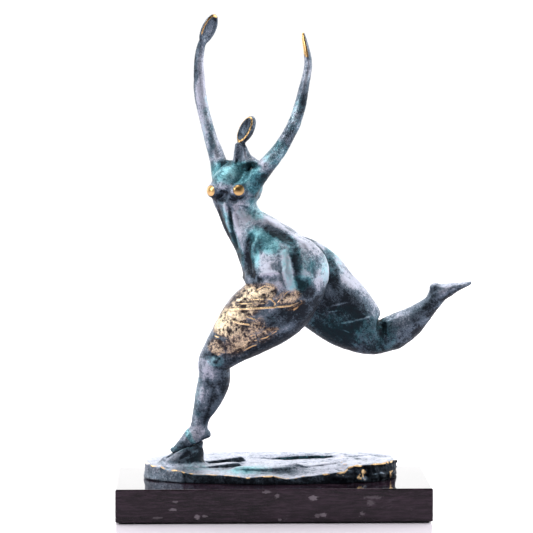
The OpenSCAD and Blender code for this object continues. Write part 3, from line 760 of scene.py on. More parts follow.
# The pale spots are painted highlights: on the hip crest, a stripe at the hip and the lit sides of
# the arms.
PAINTED_HIGHLIGHT_SPOTS = {
    "all": [(1.15, -18, 184, 7, 13, -10), (0.8, -27.5, 183, 1.6, 10, 12), (0.9, -42, 250, 5, 40),
            (0.8, 14, 245, 5, 34, 18), (0.7, -5, 214, 8, 6, 40), (0.7, -33, 224, 3.5, 16),
            (0.6, 4, 176, 18, 2.5, -28), (0.6, -39, 84, 3.5, 12), (0.3, -29, 203, 4, 8),
            (0.5, -17, 222, 3, 6), (0.6, -46, 48, 7, 6), (0.6, -39, 294, 5, 11),
            (0.7, 3, 216, 9, 7, 45), (0.35, 20, 267, 3, 13), (0.4, -24, 206, 10, 7)],
    "near": [(0.95, -3, 155, 8, 8, -20), (1.35, 8.5, 151, 3.6, 14, 10),
             (0.95, 31, 150, 5, 13, -16), (0.7, -2, 143, 8, 4), (0.8, 18, 148, 4.5, 3)],
    "far": [(1.0, 44, 147, 6, 16, 40)],
}
# The dark spots are painted shade: in the collar hollows, under the chin and breast, in creases and
# on sides turned from the lamps.
PAINTED_SHADE_SPOTS = {
    "all": [(0.6, -29.5, 82, 4, 12), (0.6, -35.5, 72, 4, 16, 26), (1.0, -28.5, 214, 5, 2.5),
            (1.0, -13, 212.6, 6, 2.2), (0.4, -47, 262, 2, 24), (0.7, -15, 225, 3, 2),
            (0.7, -30, 166, 3.4, 22, 22), (0.6, 12, 226, 2.6, 16, -35),
            (0.6, 19, 252, 2, 16, -16), (0.35, -27.2, 196.5, 1.8, 3), (0.5, -39, 98, 3, 3)],
    "near": [(1.0, 20, 138, 6, 6, 20), (1.0, 3, 120.5, 12, 6.5, 20), (0.9, 18, 124, 12, 9, 30),
             (0.8, 2, 106, 18, 6, 28), (0.6, 4, 171, 12, 3, -30), (0.6, 14.6, 157, 2.2, 10, 8),
             (0.45, -56, 41, 7, 4), (0.8, 27, 128, 6, 14, -30), (0.5, -12, 98, 22, 4, 24),
             (0.7, -19, 152, 3, 12, 12), (0.6, -22.5, 192.8, 5, 1.8, 10),
             (0.7, -12.6, 153, 2, 10, 5)],
    "far": [(0.95, 40, 120, 20, 18), (0.7, 58, 108, 22, 10), (0.4, 88, 115, 20, 12, 30),
            (1.0, 37, 146, 4.5, 16, 12)],
}


def strongest(p, table):
    """The strongest of a table's spots at each point."""
    side = {"all": np.ones(len(p)), "near": p[:, 1] < 3, "far": p[:, 1] > 0}
    return np.maximum.reduce([strength * spot(p, *place) * side[name]
                              for name, spots in table.items() for strength, *place in spots])


def teal_zone(p, cavity):
    noise = layered_noise(p, 11.0, 2, 71)
    return np.clip(strongest(p, TEAL_SPOTS) + 0.25 * cavity + 0.22 * noise, 0, 1)


# Painted highlights: lighter on faces turned up, and on the pale spots.
def painted_highlight_zone(p, n):
    up = 0.6 * fade(0.1, 0.9, n[:, 2]) * (1 - 0.6 * spot(p, -20, 208, 14, 8))
    noise = layered_noise(p, 7.0, 2, 91)
    return np.clip(np.maximum(strongest(p, PAINTED_HIGHLIGHT_SPOTS), up) + 0.2 * noise, 0, 1.4)


# Painted shade: darker on faces turned down, in the cleft between the buttocks and on the dark
# spots.
def painted_shade_zone(p, n):
    down = 0.9 * fade(0.05, 0.8, -n[:, 2])
    cleft = spot(p, 27, 160, 11, 3.2, -42) * (p[:, 1] > -1)
    return np.clip(np.maximum.reduce([strongest(p, PAINTED_SHADE_SPOTS), down, cleft]), 0, 1)


# ---------------------------------------------------------------- the castings

CASTING_NODES = {
    "torso": "torso_casting", "head": "head_casting", "right_arm": "right_arm_casting",
    "left_arm": "left_arm_casting", "standing_leg": "standing_leg_casting",
    "trailing_leg": "trailing_leg_casting",
}


def casting_of(joint, centres):
    """Which face centres belong to the casting beyond a joint plane."""
    _, point, axis, window = joint
    beyond = (centres - np.array(point)) @ unit(axis) > 0
    return beyond & window(centres)


def cut_at_joints(mesh):
    """Cuts the whole figure's mesh along each joint plane, without opening it."""
    bm = bmesh.new()
    bm.from_mesh(mesh)
    for _, point, axis, window in JOINTS:
        centre = (np.array(point) + SHIFT) * MM
        axis = unit(axis)
        bm.faces.ensure_lookup_table()
        mids = np.array([f.calc_center_median()[:] for f in bm.faces])
        near = np.abs((mids - centre) @ axis) < 3 * MM
        chosen = np.flatnonzero(near & window(mids / MM - SHIFT))
        faces = [bm.faces[i] for i in chosen]
        edges = list({e for f in faces for e in f.edges})
        verts = list({v for f in faces for v in f.verts})
        bmesh.ops.bisect_plane(bm, geom=faces + edges + verts, dist=1e-8,
                               plane_co=centre, plane_no=axis)
    bmesh.ops.triangulate(bm, faces=[f for f in bm.faces if len(f.verts) > 4])
    bm.to_mesh(mesh)
    bm.free()


def split_castings(whole):
    """The figure's mesh as one piece for each casting, each closed at its joint planes."""
    mesh = whole.data
    cut_at_joints(mesh)
    count = len(mesh.polygons)
    centres = read(mesh.polygons, "center", count * 3, float).reshape(-1, 3) / MM - SHIFT
    owner = np.zeros(count, int)
    for i, joint in enumerate(JOINTS):
        owner[casting_of(joint, centres)] = i + 1
    names = ["torso"] + [joint[0] for joint in JOINTS]
    pieces = {name: casting_piece(mesh, name, np.flatnonzero(owner == i))
              for i, name in enumerate(names)}
    bpy.data.objects.remove(whole)
    return pieces


def read(items, field, size, kind=int):
    values = np.empty(size, kind)
    items.foreach_get(field, values)
    return values


def casting_piece(mesh, name, chosen):
    """The chosen faces of a mesh as a closed piece."""
    points = read(mesh.vertices, "co", len(mesh.vertices) * 3, float).reshape(-1, 3)
    starts = read(mesh.polygons, "loop_start", len(mesh.polygons))[chosen]
    sizes = read(mesh.polygons, "loop_total", len(mesh.polygons))[chosen]
    corners = read(mesh.loops, "vertex_index", len(mesh.loops))
    first = np.cumsum(sizes) - sizes
    loops = corners[np.repeat(starts - first, sizes) + np.arange(sizes.sum())]
    used, loops = np.unique(loops, return_inverse=True)
    points = points[used]
    following = np.roll(loops, -1)
    last = first + sizes - 1
    following[last] = loops[first]
    rim = boundary(loops, following, len(points))
    caps = cap_triangles(points, rim, name)
    made = bpy.data.meshes.new(name)
    made.vertices.add(len(points))
    made.vertices.foreach_set("co", points.ravel())
    loops = np.concatenate([loops, caps.ravel()])
    starts = np.concatenate([first, sizes.sum() + 3 * np.arange(len(caps))])
    made.loops.add(len(loops))
    made.loops.foreach_set("vertex_index", loops)
    made.polygons.add(len(starts))
    made.polygons.foreach_set("loop_start", starts)
    made.update(calc_edges=True)
    made.polygons.foreach_set("use_smooth", np.ones(len(starts), bool))
    sharpen(made, rim, len(points))
    for attribute in mesh.attributes:
        if attribute.data_type == "FLOAT" and attribute.domain == "POINT":
            values = read(attribute.data, "value", len(mesh.vertices), np.float32)
            copy = made.attributes.new(attribute.name, "FLOAT", "POINT")
            copy.data.foreach_set("value", values[used])
    piece = bpy.data.objects.new(name, made)
    bpy.context.scene.collection.objects.link(piece)
    return piece


def boundary(a, b, count):
    """Directed edges that have no face on their other side."""
    forward = a.astype(np.int64) * count + b
    backward = b.astype(np.int64) * count + a
    alone = ~np.isin(forward, backward)
    return np.stack([a[alone], b[alone]], 1)


def chains(rim):
    """Closed loops of vertices along the boundary's edges."""
    after = dict(rim.tolist())
    loops = []
    while after:
        start, here = after.popitem()
        loop = [start]
        while here != start:
            loop.append(here)
            here = after.pop(here)
        loops.append(loop)
    return loops


def cap_triangles(points, rim, name):
    """Triangles that close each joint plane, with the dowel holes left open in them."""
    loops = chains(rim)
    triangles = []
    for joint in JOINTS:
        axis = unit(joint[2])
        centre = (np.array(joint[1]) + SHIFT) * MM
        own = []
        for loop in loops:
            places = points[loop]
            flat = np.abs((places - centre) @ axis).max() < 0.02 * MM
            close = np.linalg.norm(places.mean(0) - centre) < 30 * MM
            if flat and close:
                own.append(loop)
        if not own:
            continue
        side = unit(np.cross(axis, (0.3, 1, 0.2)))
        other = np.cross(axis, side)
        outlines = [[Vector((*(points[v] - centre).dot(np.stack([side, other], 1)), 0)) / MM
                     for v in loop] for loop in own]
        order = [v for loop in own for v in loop]
        out = -1 if name == joint[0] else 1
        for tri in tessellate_polygon(outlines):
            tri = [order[i] for i in tri]
            normal = np.cross(points[tri[1]] - points[tri[0]], points[tri[2]] - points[tri[0]])
            triangles.append(tri if normal @ axis * out > 0 else tri[::-1])
    return np.array(triangles)


def sharpen(mesh, rim, count):
    """Marks the boundary's edges sharp, so that the caps don't bend the shading round them."""
    edges = read(mesh.edges, "vertices", len(mesh.edges) * 2).reshape(-1, 2)
    keys = edges.min(1) * count + edges.max(1)
    sharp = np.isin(keys, rim.min(1) * count + rim.max(1))
    mesh.attributes.new("sharp_edge", "BOOLEAN", "EDGE")
    mesh.attributes["sharp_edge"].data.foreach_set("value", sharp)


def build_figure():
    field = figure_field()
    bores(field)
    points, quads = field.skin()
    points = relaxed(points, quads, 2)
    normals = quad_normals(points, quads)
    points, numbers = sculpt(field, points, normals)
    whole = make_mesh("whole_figure", points + SHIFT, quads)
    for name, values in numbers.items():
        set_number(whole, name, values)
    return split_castings(whole)


# ---------------------------------------------------------------- ground plate

# Outline of the plate: shares of its half length and half depth, round it as seen from above.
PLATE_OUTLINE = np.array([
    (-1.00, -0.05), (-0.91, -0.42), (-0.68, -0.76), (-0.34, -0.90), (0, -0.99), (0.30, -0.95),
    (0.54, -0.90), (0.86, -0.63), (0.98, -0.30), (1.00, 0.10), (0.96, 0.62), (0.78, 0.88),
    (0.40, 0.99), (0, 0.97), (-0.40, 0.99), (-0.74, 0.86), (-0.95, 0.50),
])
PLATE_CENTRE = ((PLATE_LOW + PLATE_HIGH) / 2)[:2]
PLATE_HALF = ((PLATE_HIGH - PLATE_LOW) / 2)[:2]
PLATE_BASE = PLATE_LOW[2]
PLATE_TOP = PLATE_BASE + PLATE_EDGE_T
RELIEF_DEPTH, RELIEF_RIM, BOSS_D = 1.5, 7.0, 14.0
PAD_R, RECESS_R, STUD_HOLE_R = 8.5, 5.5, 2.25
BOLT_HEAD_R, BOLT_HOLE_R, THREAD_ROOM = 4.25, 2.5, 0.8
WEDGE_SIDES, WEDGE_TOP, WEDGE_BASE = 40, (13.2, 4.4), (17.5, 12.0)
WEDGE_TOP_FORWARD, WEDGE_BASE_X = 8.2, -59.0


def plate_ring():
    """A smooth closed ring through the outline's points, in millimetres."""
    made = []
    for i in range(len(PLATE_OUTLINE)):
        around = [PLATE_OUTLINE[(i + k) % len(PLATE_OUTLINE)] for k in (-1, 0, 1, 2)]
        made += curve_steps(*around, 4)
    return np.array(made) * PLATE_HALF + PLATE_CENTRE


def polygon_distance(x, y, ring):
    """Distance to a polygon in the plane, negative inside it."""
    best = np.full(np.broadcast(x, y).shape, 1e9)
    inside = np.zeros(best.shape, bool)
    for a, b in zip(ring, np.roll(ring, -1, axis=0)):
        d = b - a
        t = np.clip(((x - a[0]) * d[0] + (y - a[1]) * d[1]) / (d @ d), 0, 1)
        best = np.minimum(best, np.hypot(x - a[0] - t * d[0], y - a[1] - t * d[1]))
        crosses = ((a[1] > y) != (b[1] > y)) & (
            x < (b[0] - a[0]) * (y - a[1]) / (b[1] - a[1] + 1e-12) + a[0])
        inside ^= crosses
    return np.where(inside, -best, best)


def plan_noise(x, y, size, layers, seed):
    shape = np.broadcast(x, y).shape
    p = np.stack([np.broadcast_to(x, shape).ravel(), np.broadcast_to(y, shape).ravel(),
                  np.zeros(int(np.prod(shape)))], 1)
    return layered_noise(p, size, layers, seed).reshape(shape)


def bump(x, y, cx, cy, rx, ry, lean=0.0):
    c, s = math.cos(math.radians(lean)), math.sin(math.radians(lean))
    u = (x - cx) * c + (y - cy) * s
    w = (y - cy) * c - (x - cx) * s
    return np.exp(-(u / rx) ** 2 - (w / ry) ** 2)


def shelf(x, y, cx, cy, rx, ry, lean=0.0, sharp=3.0):
    """A flat raised patch with a steep edge all round."""
    c, s = math.cos(math.radians(lean)), math.sin(math.radians(lean))
    u = ((x - cx) * c + (y - cy) * s) / rx
    w = ((y - cy) * c - (x - cx) * s) / ry
    return 1 / (1 + np.exp((np.hypot(u, w) - 1) * 3 * sharp))


# Height of the plate's front edge over its underside, along X.
FRONT_EDGE = np.array([
    (-77, 10.6), (-73, 8.5), (-68, 9.0), (-64, 7.2), (-59, 7.8), (-53, 6.6), (-46, 5.7),
    (-32, 5.6), (-21, 4.8), (-16, 4.1), (-8, 5.1), (0, 5.5), (7, 3.7), (12, 3.8), (18, 5.0),
    (24, 5.4), (37, 6.6), (43, 7.4), (45.5, 10.4), (53, 10.8), (61, 11.2), (72, 11.6),
])


def plate_height(x, y, side):
    """Height of the plate's top over its thin front edge; side is the distance to its outline."""
    u = (x - PLATE_CENTRE[0]) / PLATE_HALF[0]
    v = (y - PLATE_CENTRE[1]) / PLATE_HALF[1]
    h = (3 * (1 + v) + 6 * np.exp(-((u - 0.72) / 0.4) ** 2) * (0.5 - v / 2)
         + 2.4 * np.exp(-((u + 0.85) / 0.28) ** 2) * (0.5 - v / 2))
    h += 0.5 * plan_noise(x, y, 24, 3, 5) + 0.30 * plan_noise(x, 2.2 * y, 9, 3, 9)
    front = np.interp(x, *FRONT_EDGE.T) - PLATE_EDGE_T
    h += (front - h) * fade(-11, -1, side) * (1 - fade(-8, 6, y))
    ramp = fade(-48, -19, x)
    h += (0.8 + 2.8 * ramp) * shelf(x, y, -31, 6.5, 14.5, 2.6, 10, 6)
    h += (0.8 + 2.2 * ramp) * shelf(x, y, -34, -6.5, 15, 3.0, 13, 6)
    h -= 1.2 * bump(x, y, -30, 1.0, 15, 1.6, 12) + 0.9 * bump(x, y, -30, -12.5, 14, 1.4, 10)
    h += 2.3 * shelf(x, y, -3, -13.5, 21, 5.2, 2, 5) - 0.9 * bump(x, y, 4, -20.5, 22, 1.4, 4)
    h += 1.0 * shelf(x, y, 27, -11, 17, 2.8, 7, 5) - 0.6 * bump(x, y, 26, 1.8, 22, 1.2, -4)
    h -= 3.6 * shelf(x, y, 20, 18, 20, 4.6, 2, 6) + 1.5 * bump(x, y, -5, 18.5, 7, 1.0, -14)
    h += 0.8 * bump(x, y, 16, 26, 26, 2.0, 3) + 0.5 * bump(x, y, 52, 3, 18, 4, -18)
    h -= 0.7 * bump(x, y, 45, 14, 24, 1.1, 10) + 0.5 * bump(x, y, 50, 22, 18, 0.9, 4)
    rocky = fade(24, 44, x) * (1 - fade(-22, -4, y))
    h += rocky * 1.2 * plan_noise(x, y, 7, 3, 21)
    return np.maximum(h, -1.6)


def plate_field():
    voxel = 0.45
    field = Field((PLATE_LOW[0] - 3, PLATE_LOW[1] - 3, PLATE_BASE - 2),
                  (PLATE_HIGH[0] + 3, PLATE_HIGH[1] + 3, PLATE_HIGH[2] + 3), voxel)
    cut, (x, y, z) = field.window(PLATE_LOW - 4, PLATE_HIGH + 4)
    side = polygon_distance(x[:, :, 0], y[:, :, 0], plate_ring())
    top = PLATE_TOP + plate_height(x[:, :, 0], y[:, :, 0], side)
    slope = np.hypot(*np.gradient(top, voxel))
    upper = (z - top[:, :, None]) / np.sqrt(1 + slope ** 2)[:, :, None]
    wall = side[:, :, None] + wall_relief(x, y, z, side[:, :, None])
    solid = -soft_min(-upper, -wall, 0.8)
    solid = np.maximum(solid, PLATE_BASE - z)
    field.values[cut] = np.clip(solid, -BAND, BAND)
    rock_wedge(field)
    under_plate(field, side)
    return field


def wall_relief(x, y, z, side):
    """How far the plate's edge stands back: folds down the rocky right end, dents elsewhere."""
    shape = np.broadcast(x, y, z).shape
    p = np.stack([np.broadcast_to(a, shape).ravel() for a in (x, y, z)], 1)
    near = np.abs(np.broadcast_to(side, shape).ravel()) < 5
    relief = np.zeros(len(p))
    q = p[near]
    rocky = fade(20, 40, q[:, 0])
    folds = layered_noise(q * (1, 1, 0.35), 7.0, 3, 57)
    ledges = layered_noise(q * (0.45, 0.45, 1.6), 5.0, 2, 63)
    plain = layered_noise(q * (1, 1, 0.6), 6.0, 3, 67)
    relief[near] = (rocky * (0.8 + 2.4 * np.abs(folds) + 1.5 * ledges)
                    + (1 - rocky) * (0.35 + 0.8 * plain)
                    + 1.0 * np.exp(-((q[:, 0] + 53 + 0.3 * (q[:, 2] - 24)) / 0.7) ** 2)
                    * (q[:, 1] < 0))
    return relief.reshape(shape)


def rock_wedge(field):
    """The rock that rises under the sole."""
    foot = SOLE_POINT + SHIFT
    angle = 2 * math.pi * np.arange(WEDGE_SIDES) / WEDGE_SIDES
    cosine = math.cos(math.atan(SOLE_SLOPE))
    top_centre = foot[0] - WEDGE_TOP_FORWARD * cosine
    base_centre = SHIFT[0] + WEDGE_BASE_X
    rings = []
    for share in np.linspace(0, 1, 9):
        ease = share ** 0.8
        half_width = WEDGE_BASE[0] + (WEDGE_TOP[0] * cosine - WEDGE_BASE[0]) * ease
        half_depth = WEDGE_BASE[1] + (WEDGE_TOP[1] - WEDGE_BASE[1]) * ease ** 0.6
        x = base_centre + (top_centre - base_centre) * ease + half_width * np.cos(angle)
        y = foot[1] + half_depth * np.sin(angle) + 2.2 * (1 - ease) * np.sin(3 * angle)
        top = foot[2] + (x - foot[0]) * SOLE_SLOPE
        z = PLATE_BASE + 1 + (top - PLATE_BASE - 1) * share
        rings.append(np.stack([x, y, z], 1))
    field.add_tube(np.array(rings), 5.0)
    cut, (x, y, z) = field.window(foot + (-32, -16, -12), foot + (16, 16, 8))
    above = (foot[2] + (x - foot[0]) * SOLE_SLOPE - z) * cosine
    near = bump(x, y, foot[0] - 8, foot[1], 24, 14)
    carve = np.where(near > 0.2, above, BAND)
    field.carve(cut, carve.astype(np.float32), 0)


def under_plate(field, side):
    """The shallow pocket under the plate, its bosses and pad, the screw holes and nut recess."""
    cut, (x, y, z) = field.window(PLATE_LOW - 4, (*(PLATE_HIGH[:2] + 4), PLATE_BASE + 12))
    x, y, z = np.asarray(x, float), np.asarray(y, float), np.asarray(z, float)
    nut = node_centre("foot_nut")
    from_nut = np.hypot(x - nut[0], y - nut[1])
    from_bolts = [np.hypot(x - bolt[0], y - bolt[1]) for bolt in bolt_places()]
    pocket = np.maximum(side[:, :, None] + RELIEF_RIM, z - PLATE_BASE - RELIEF_DEPTH)
    for gap in from_bolts:
        pocket = np.maximum(pocket, BOSS_D / 2 - gap)
    pocket = np.maximum(pocket, PAD_R - from_nut)
    bolt_top = node_box("base_bolts")[1][2] + THREAD_ROOM
    for gap in from_bolts:
        pocket = np.minimum(pocket, np.maximum(gap - BOLT_HOLE_R, z - bolt_top))
    washer_top = node_box("foot_washer")[1][2]
    pocket = np.minimum(pocket, np.maximum(from_nut - RECESS_R, z - washer_top))
    pocket = np.broadcast_to(pocket, field.values[cut].shape)
    field.carve(cut, np.clip(pocket, -BAND, BAND).astype(np.float32), 0)
    field.carve_cord([(nut[0], nut[1], PLATE_BASE), (nut[0], nut[1], PLATE_HIGH[2] + 6)],
                     [STUD_HOLE_R, STUD_HOLE_R], k=0)


def bolt_places():
    """The two bolts' places in plan, from the ends of their node's box."""
    low, high = node_box("base_bolts")
    y = (low[1] + high[1]) / 2
    return [(low[0] + BOLT_HEAD_R, y), (high[0] - BOLT_HEAD_R, y)]


def plate_gold(p, side, top, rocky, move):
    """The worn bright line along the front edge, and on the rocky end's ledges."""
    edge = (np.exp(-((side + 1.3) / 0.9) ** 2) * np.exp(-((p[:, 2] - top + 0.4) / 0.7) ** 2)
            * (1 - fade(2, 14, p[:, 1])))
    nicks = fade(-0.35, 0.35, layered_noise(p, 2.6, 3, 83))
    ledge = rocky * fade(0.12, 0.4, move) * fade(-0.1, 0.3, layered_noise(p, 6.0, 2, 89))
    return np.maximum(edge * (0.1 + 0.9 * nicks), 0.7 * ledge)


def plate_patina_and_painted_light(p, n, cavity, rocky, wedge, curls):
    """Where the plate is teal, pale with painted light on its top, and dark with painted shade on
    its sides, under the sole and in the wedge's hollows.
    """
    x, y, z = p.T
    foot = SOLE_POINT + SHIFT
    top_face = fade(0.45, 0.8, n[:, 2])
    left_lip = (1 - fade(-60, -50, x)) * (1 - top_face)
    teal = (0.9 * bump(x, y, 20, 20, 22, 8) * (1 - top_face) + 0.8 * bump(x, y, -17, -18, 14, 6)
            + 0.35 * bump(x, y, -46, -14, 16, 7) + 0.45 * wedge * fade(0.0, 0.4, curls)
            + 0.3 * cavity + 0.2 * layered_noise(p, 12.0, 2, 77))
    under_sole = (1 - fade(1.0, 4.5, foot[2] + (x - foot[0]) * SOLE_SLOPE - z)) * wedge
    # painted shade: on the side faces, in a patch on the front, under the sole and in the low parts
    # of the wedge's curls
    dark = np.maximum.reduce([
        (1 - top_face) * (0.65 + 0.35 * rocky) * (1 - 0.9 * left_lip),
        0.8 * bump(x, y, 10, -20, 11, 5), under_sole * fade(-56, -48, x),
        0.8 * wedge * (1 - fade(-0.25, 0.15, curls))])
    # pale is painted light on the top faces; the side faces of the left end are kept paler and less
    # shaded
    return {"teal": np.clip(teal, 0, 1), "pale": top_face * 0.9 + 0.35 * left_lip,
            "dark": np.clip(dark, 0, 1)}


def build_plate():
    """The plate's mesh, with its finest relief and the numbers that the bronze's material reads."""
    field = plate_field()
    p, quads = field.skin()
    p = relaxed(p, quads, 1)
    n = quad_normals(p, quads)
    side = polygon_distance(p[:, 0], p[:, 1], plate_ring())
    top = PLATE_TOP + plate_height(p[:, 0], p[:, 1], side)
    rocky = fade(20, 42, p[:, 0]) * fade(-0.2, 0.5, -n[:, 1])
    foot = SOLE_POINT + SHIFT
    wedge = fade(2.0, 5.0, p[:, 2] - top) * bump(p[:, 0], p[:, 1], foot[0] - 6, foot[1], 26, 16)
    swirl = unit((0.85, 0, 0.5))
    curls = layered_noise(p - swirl * (p @ swirl)[:, None] * 0.8, 3.6, 3, 19)
    move = (0.16 + 0.45 * rocky) * layered_noise(p, 4.0, 3, 13) + 1.3 * wedge * curls
    move += (0.10 + 0.2 * rocky) * (fade(0, 0.7, cell_noise(p, 2.4, 7)) - 0.5)
    move += 0.07 * (1 - 2.5 * np.abs(layered_noise(p, 1.6, 2, 29)))
    open_side = (p[:, 2] > PLATE_BASE + 0.5) & (n[:, 2] > -0.6)
    move *= open_side * fade(0, 1.2, p[:, 2] - PLATE_BASE)
    piece = make_mesh("plate", p + n * move[:, None], quads)
    cavity = crevice(field, p, n)
    none = np.zeros(len(p))
    numbers = {"gold": none, "polished": none, "cavity": cavity, "height": move,
               "line": plate_gold(p, side, top, rocky, move) * open_side,
               **plate_patina_and_painted_light(p, n, cavity, rocky, wedge, curls)}
    for name, values in numbers.items():
        set_number(piece, name, values)
    return piece


# ---------------------------------------------------------------- felt


FELT_STEP, FELT_HOLE_R, FELT_FUZZ = 1.5, 6.0, 0.08


def build_felt():
    """The felt pad: a thin sheet with soft edges and holes where the bolts go up."""
    low, high = node_box("base_felt")
    nx = int(round((high[0] - low[0]) / FELT_STEP))
    ny = int(round((high[1] - low[1]) / FELT_STEP))
    bm = bmesh.new()
    rows = []
    for j in range(ny + 1):
        y = low[1] + (high[1] - low[1]) * j / ny
        rows.append([bm.verts.new((low[0] + (high[0] - low[0]) * i / nx, y, high[2]))
                     for i in range(nx + 1)])
    holes = bolt_places()
    for j in range(ny):
        for i in range(nx):
            mid = (np.array(rows[j][i].co) + np.array(rows[j + 1][i + 1].co)) / 2
            if min(math.hypot(mid[0] - h[0], mid[1] - h[1]) for h in holes) > FELT_HOLE_R:
                bm.faces.new((rows[j][i], rows[j][i + 1], rows[j + 1][i + 1], rows[j + 1][i]))
    bmesh.ops.delete(bm, geom=[v for v in bm.verts if not v.link_faces], context="VERTS")
    for vert in bm.verts:
        if vert.is_boundary:
            for h in holes:
                d = math.hypot(vert.co.x - h[0], vert.co.y - h[1])
                if d < 1.5 * FELT_HOLE_R:
                    vert.co.x = h[0] + (vert.co.x - h[0]) * FELT_HOLE_R / d
                    vert.co.y = h[1] + (vert.co.y - h[1]) * FELT_HOLE_R / d
    top = list(bm.faces)
    made = bmesh.ops.extrude_face_region(bm, geom=top)
    fall = low[2] - high[2]
    under = [g for g in made["geom"] if isinstance(g, bmesh.types.BMVert)]
    points = np.array([v.co[:] for v in under])
    fuzz = FELT_FUZZ * (0.5 + 0.5 * layered_noise(points, 3.0, 2, 3))
    for vert, lift in zip(under, fuzz):
        vert.co.z += fall + lift
    bmesh.ops.recalc_face_normals(bm, faces=bm.faces)
    for face in bm.faces:
        face.smooth = True
    for vert in bm.verts:
        vert.co *= MM
    mesh = bpy.data.meshes.new("felt_pad")
    bm.to_mesh(mesh)
    bm.free()
    piece = bpy.data.objects.new("felt_pad", mesh)
    bpy.context.scene.collection.objects.link(piece)
    return piece


# ---------------------------------------------------------------- materials


class Value:
    """A node's output, to add, subtract and multiply like a number."""

    def __init__(self, nodes, socket):
        self.nodes = nodes
        self.socket = socket

    def __add__(self, other):
        return self.nodes.math("ADD", self, other)

    def __sub__(self, other):
        return self.nodes.math("SUBTRACT", self, other)

    def __rsub__(self, other):
        return self.nodes.math("SUBTRACT", other, self)

    def __mul__(self, other):
        return self.nodes.math("MULTIPLY", self, other)

    __radd__ = __add__
    __rmul__ = __mul__

    def centred(self, gain):
        """A 0 to 1 value taken about 0.5 and made stronger."""
        return (self - 0.5) * gain


class Nodes:
    """Short calls for building the nodes of a material or world."""

    def __init__(self, owner, coordinates="Object"):
        self.owner = owner
        owner.use_nodes = True
        self.tree = owner.node_tree
        self.tree.nodes.clear()
        self.place = self.make("TexCoord", coordinates, {})

    def make(self, kind, output, inputs, **settings):
        """A new node's output, as a value."""
        node = self.tree.nodes.new("ShaderNode" + kind)
        for name, setting in settings.items():
            setattr(node, name, setting)
        for name, value in inputs.items():
            self.set(node.inputs[name], value)
        return Value(self, node.outputs[output])

    def set(self, socket, value):
        """Links a value, or sets a number or colour."""
        if isinstance(value, Value):
            self.tree.links.new(value.socket, socket)
        elif hasattr(value, "__len__") and len(value) == 3 and len(socket.default_value) == 4:
            socket.default_value = (*value, 1)
        else:
            socket.default_value = value

    def number(self, name):
        return self.make("Attribute", "Fac", {}, attribute_name=name)

    def math(self, operation, a, b=0.0):
        return self.make("Math", 0, {0: a, 1: b}, operation=operation)

    def span(self, value, low, high, to_low=0.0, to_high=1.0):
        """The value carried smoothly from one range to another, and held at its ends."""
        return self.make("MapRange", 0, dict(enumerate((value, low, high, to_low, to_high))),
                         interpolation_type="SMOOTHSTEP")

    def mix(self, share, a, b):
        return self.make("Mix", 2, {0: share, 6: a, 7: b}, data_type="RGBA")

    def mapped(self, sizes_mm, centre_mm=(0, 0, 0)):
        """The place on the object, counted in sizes from a centre."""
        return self.make("Mapping", 0, {
            0: self.place, "Scale": [1 / (size * MM) for size in sizes_mm],
            "Location": [-c / size for c, size in zip(centre_mm, sizes_mm)]})

    def noise(self, size_mm, detail=3.0, roughness=0.55, stretch=(1, 1, 1), warp=0.0):
        """Cloudy noise about 0.5; size_mm is the size of its bumps."""
        return self.make("TexNoise", "Fac", {
            "Vector": self.mapped([size_mm * s for s in stretch]), "Scale": 1.0,
            "Detail": detail, "Roughness": roughness, "Distortion": warp})

    def cells(self, size_mm):
        """Distance to the nearest of scattered points."""
        return self.make("TexVoronoi", "Distance", {"Vector": self.mapped([size_mm] * 3),
                                                    "Scale": 1.0})

    def oval(self, centre_mm, radii_mm, torn):
        """1 inside an oval patch whose edge follows the noise torn, 0 outside it."""
        reach = self.make("VectorMath", "Value", {0: self.mapped(radii_mm, centre_mm)},
                          operation="LENGTH")
        return 1.0 - self.span(reach + torn.centred(2.4), 0.75, 1.15)

    def bump(self, height, depth_mm, strength=1.0, **more):
        return self.make("Bump", 0, {"Distance": depth_mm * MM, "Strength": strength,
                                     "Height": height, **more})

    def end(self, kind, shader):
        output = self.tree.nodes.new("ShaderNodeOutput" + kind)
        self.tree.links.new(shader.socket, output.inputs["Surface"])

    def surface(self, **values):
        """The material, ended with these values on its shader."""
        named = {name.replace("_", " "): value for name, value in values.items()}
        self.end("Material", self.make("BsdfPrincipled", 0, named))
        return self.owner


def new_material(name):
    return Nodes(bpy.data.materials.new(name))


DARK_SLATE = (0.010, 0.013, 0.021)
SLATE = (0.103, 0.129, 0.172)
LAVENDER = (0.490, 0.480, 0.575)
DEEP_TEAL = (0.004, 0.028, 0.036)
TEAL = (0.050, 0.185, 0.225)
PALE_TEAL = (0.260, 0.580, 0.640)
GOLD = (0.520, 0.290, 0.100)
PALE_GOLD = (0.860, 0.700, 0.480)
LINE_GOLD = (0.900, 0.680, 0.400)
RICH_GOLD = (0.640, 0.410, 0.170)
SHADED_GOLD = (0.420, 0.190, 0.050)
BROWN = (0.026, 0.018, 0.017)
DULL_MAUVE = (0.215, 0.170, 0.170)


def three_tones(m, tone, dark, middle, light):
    low = m.mix(m.span(tone, 0.0, 0.5), dark, middle)
    return m.mix(m.span(tone, 0.45, 1.0), low, light)


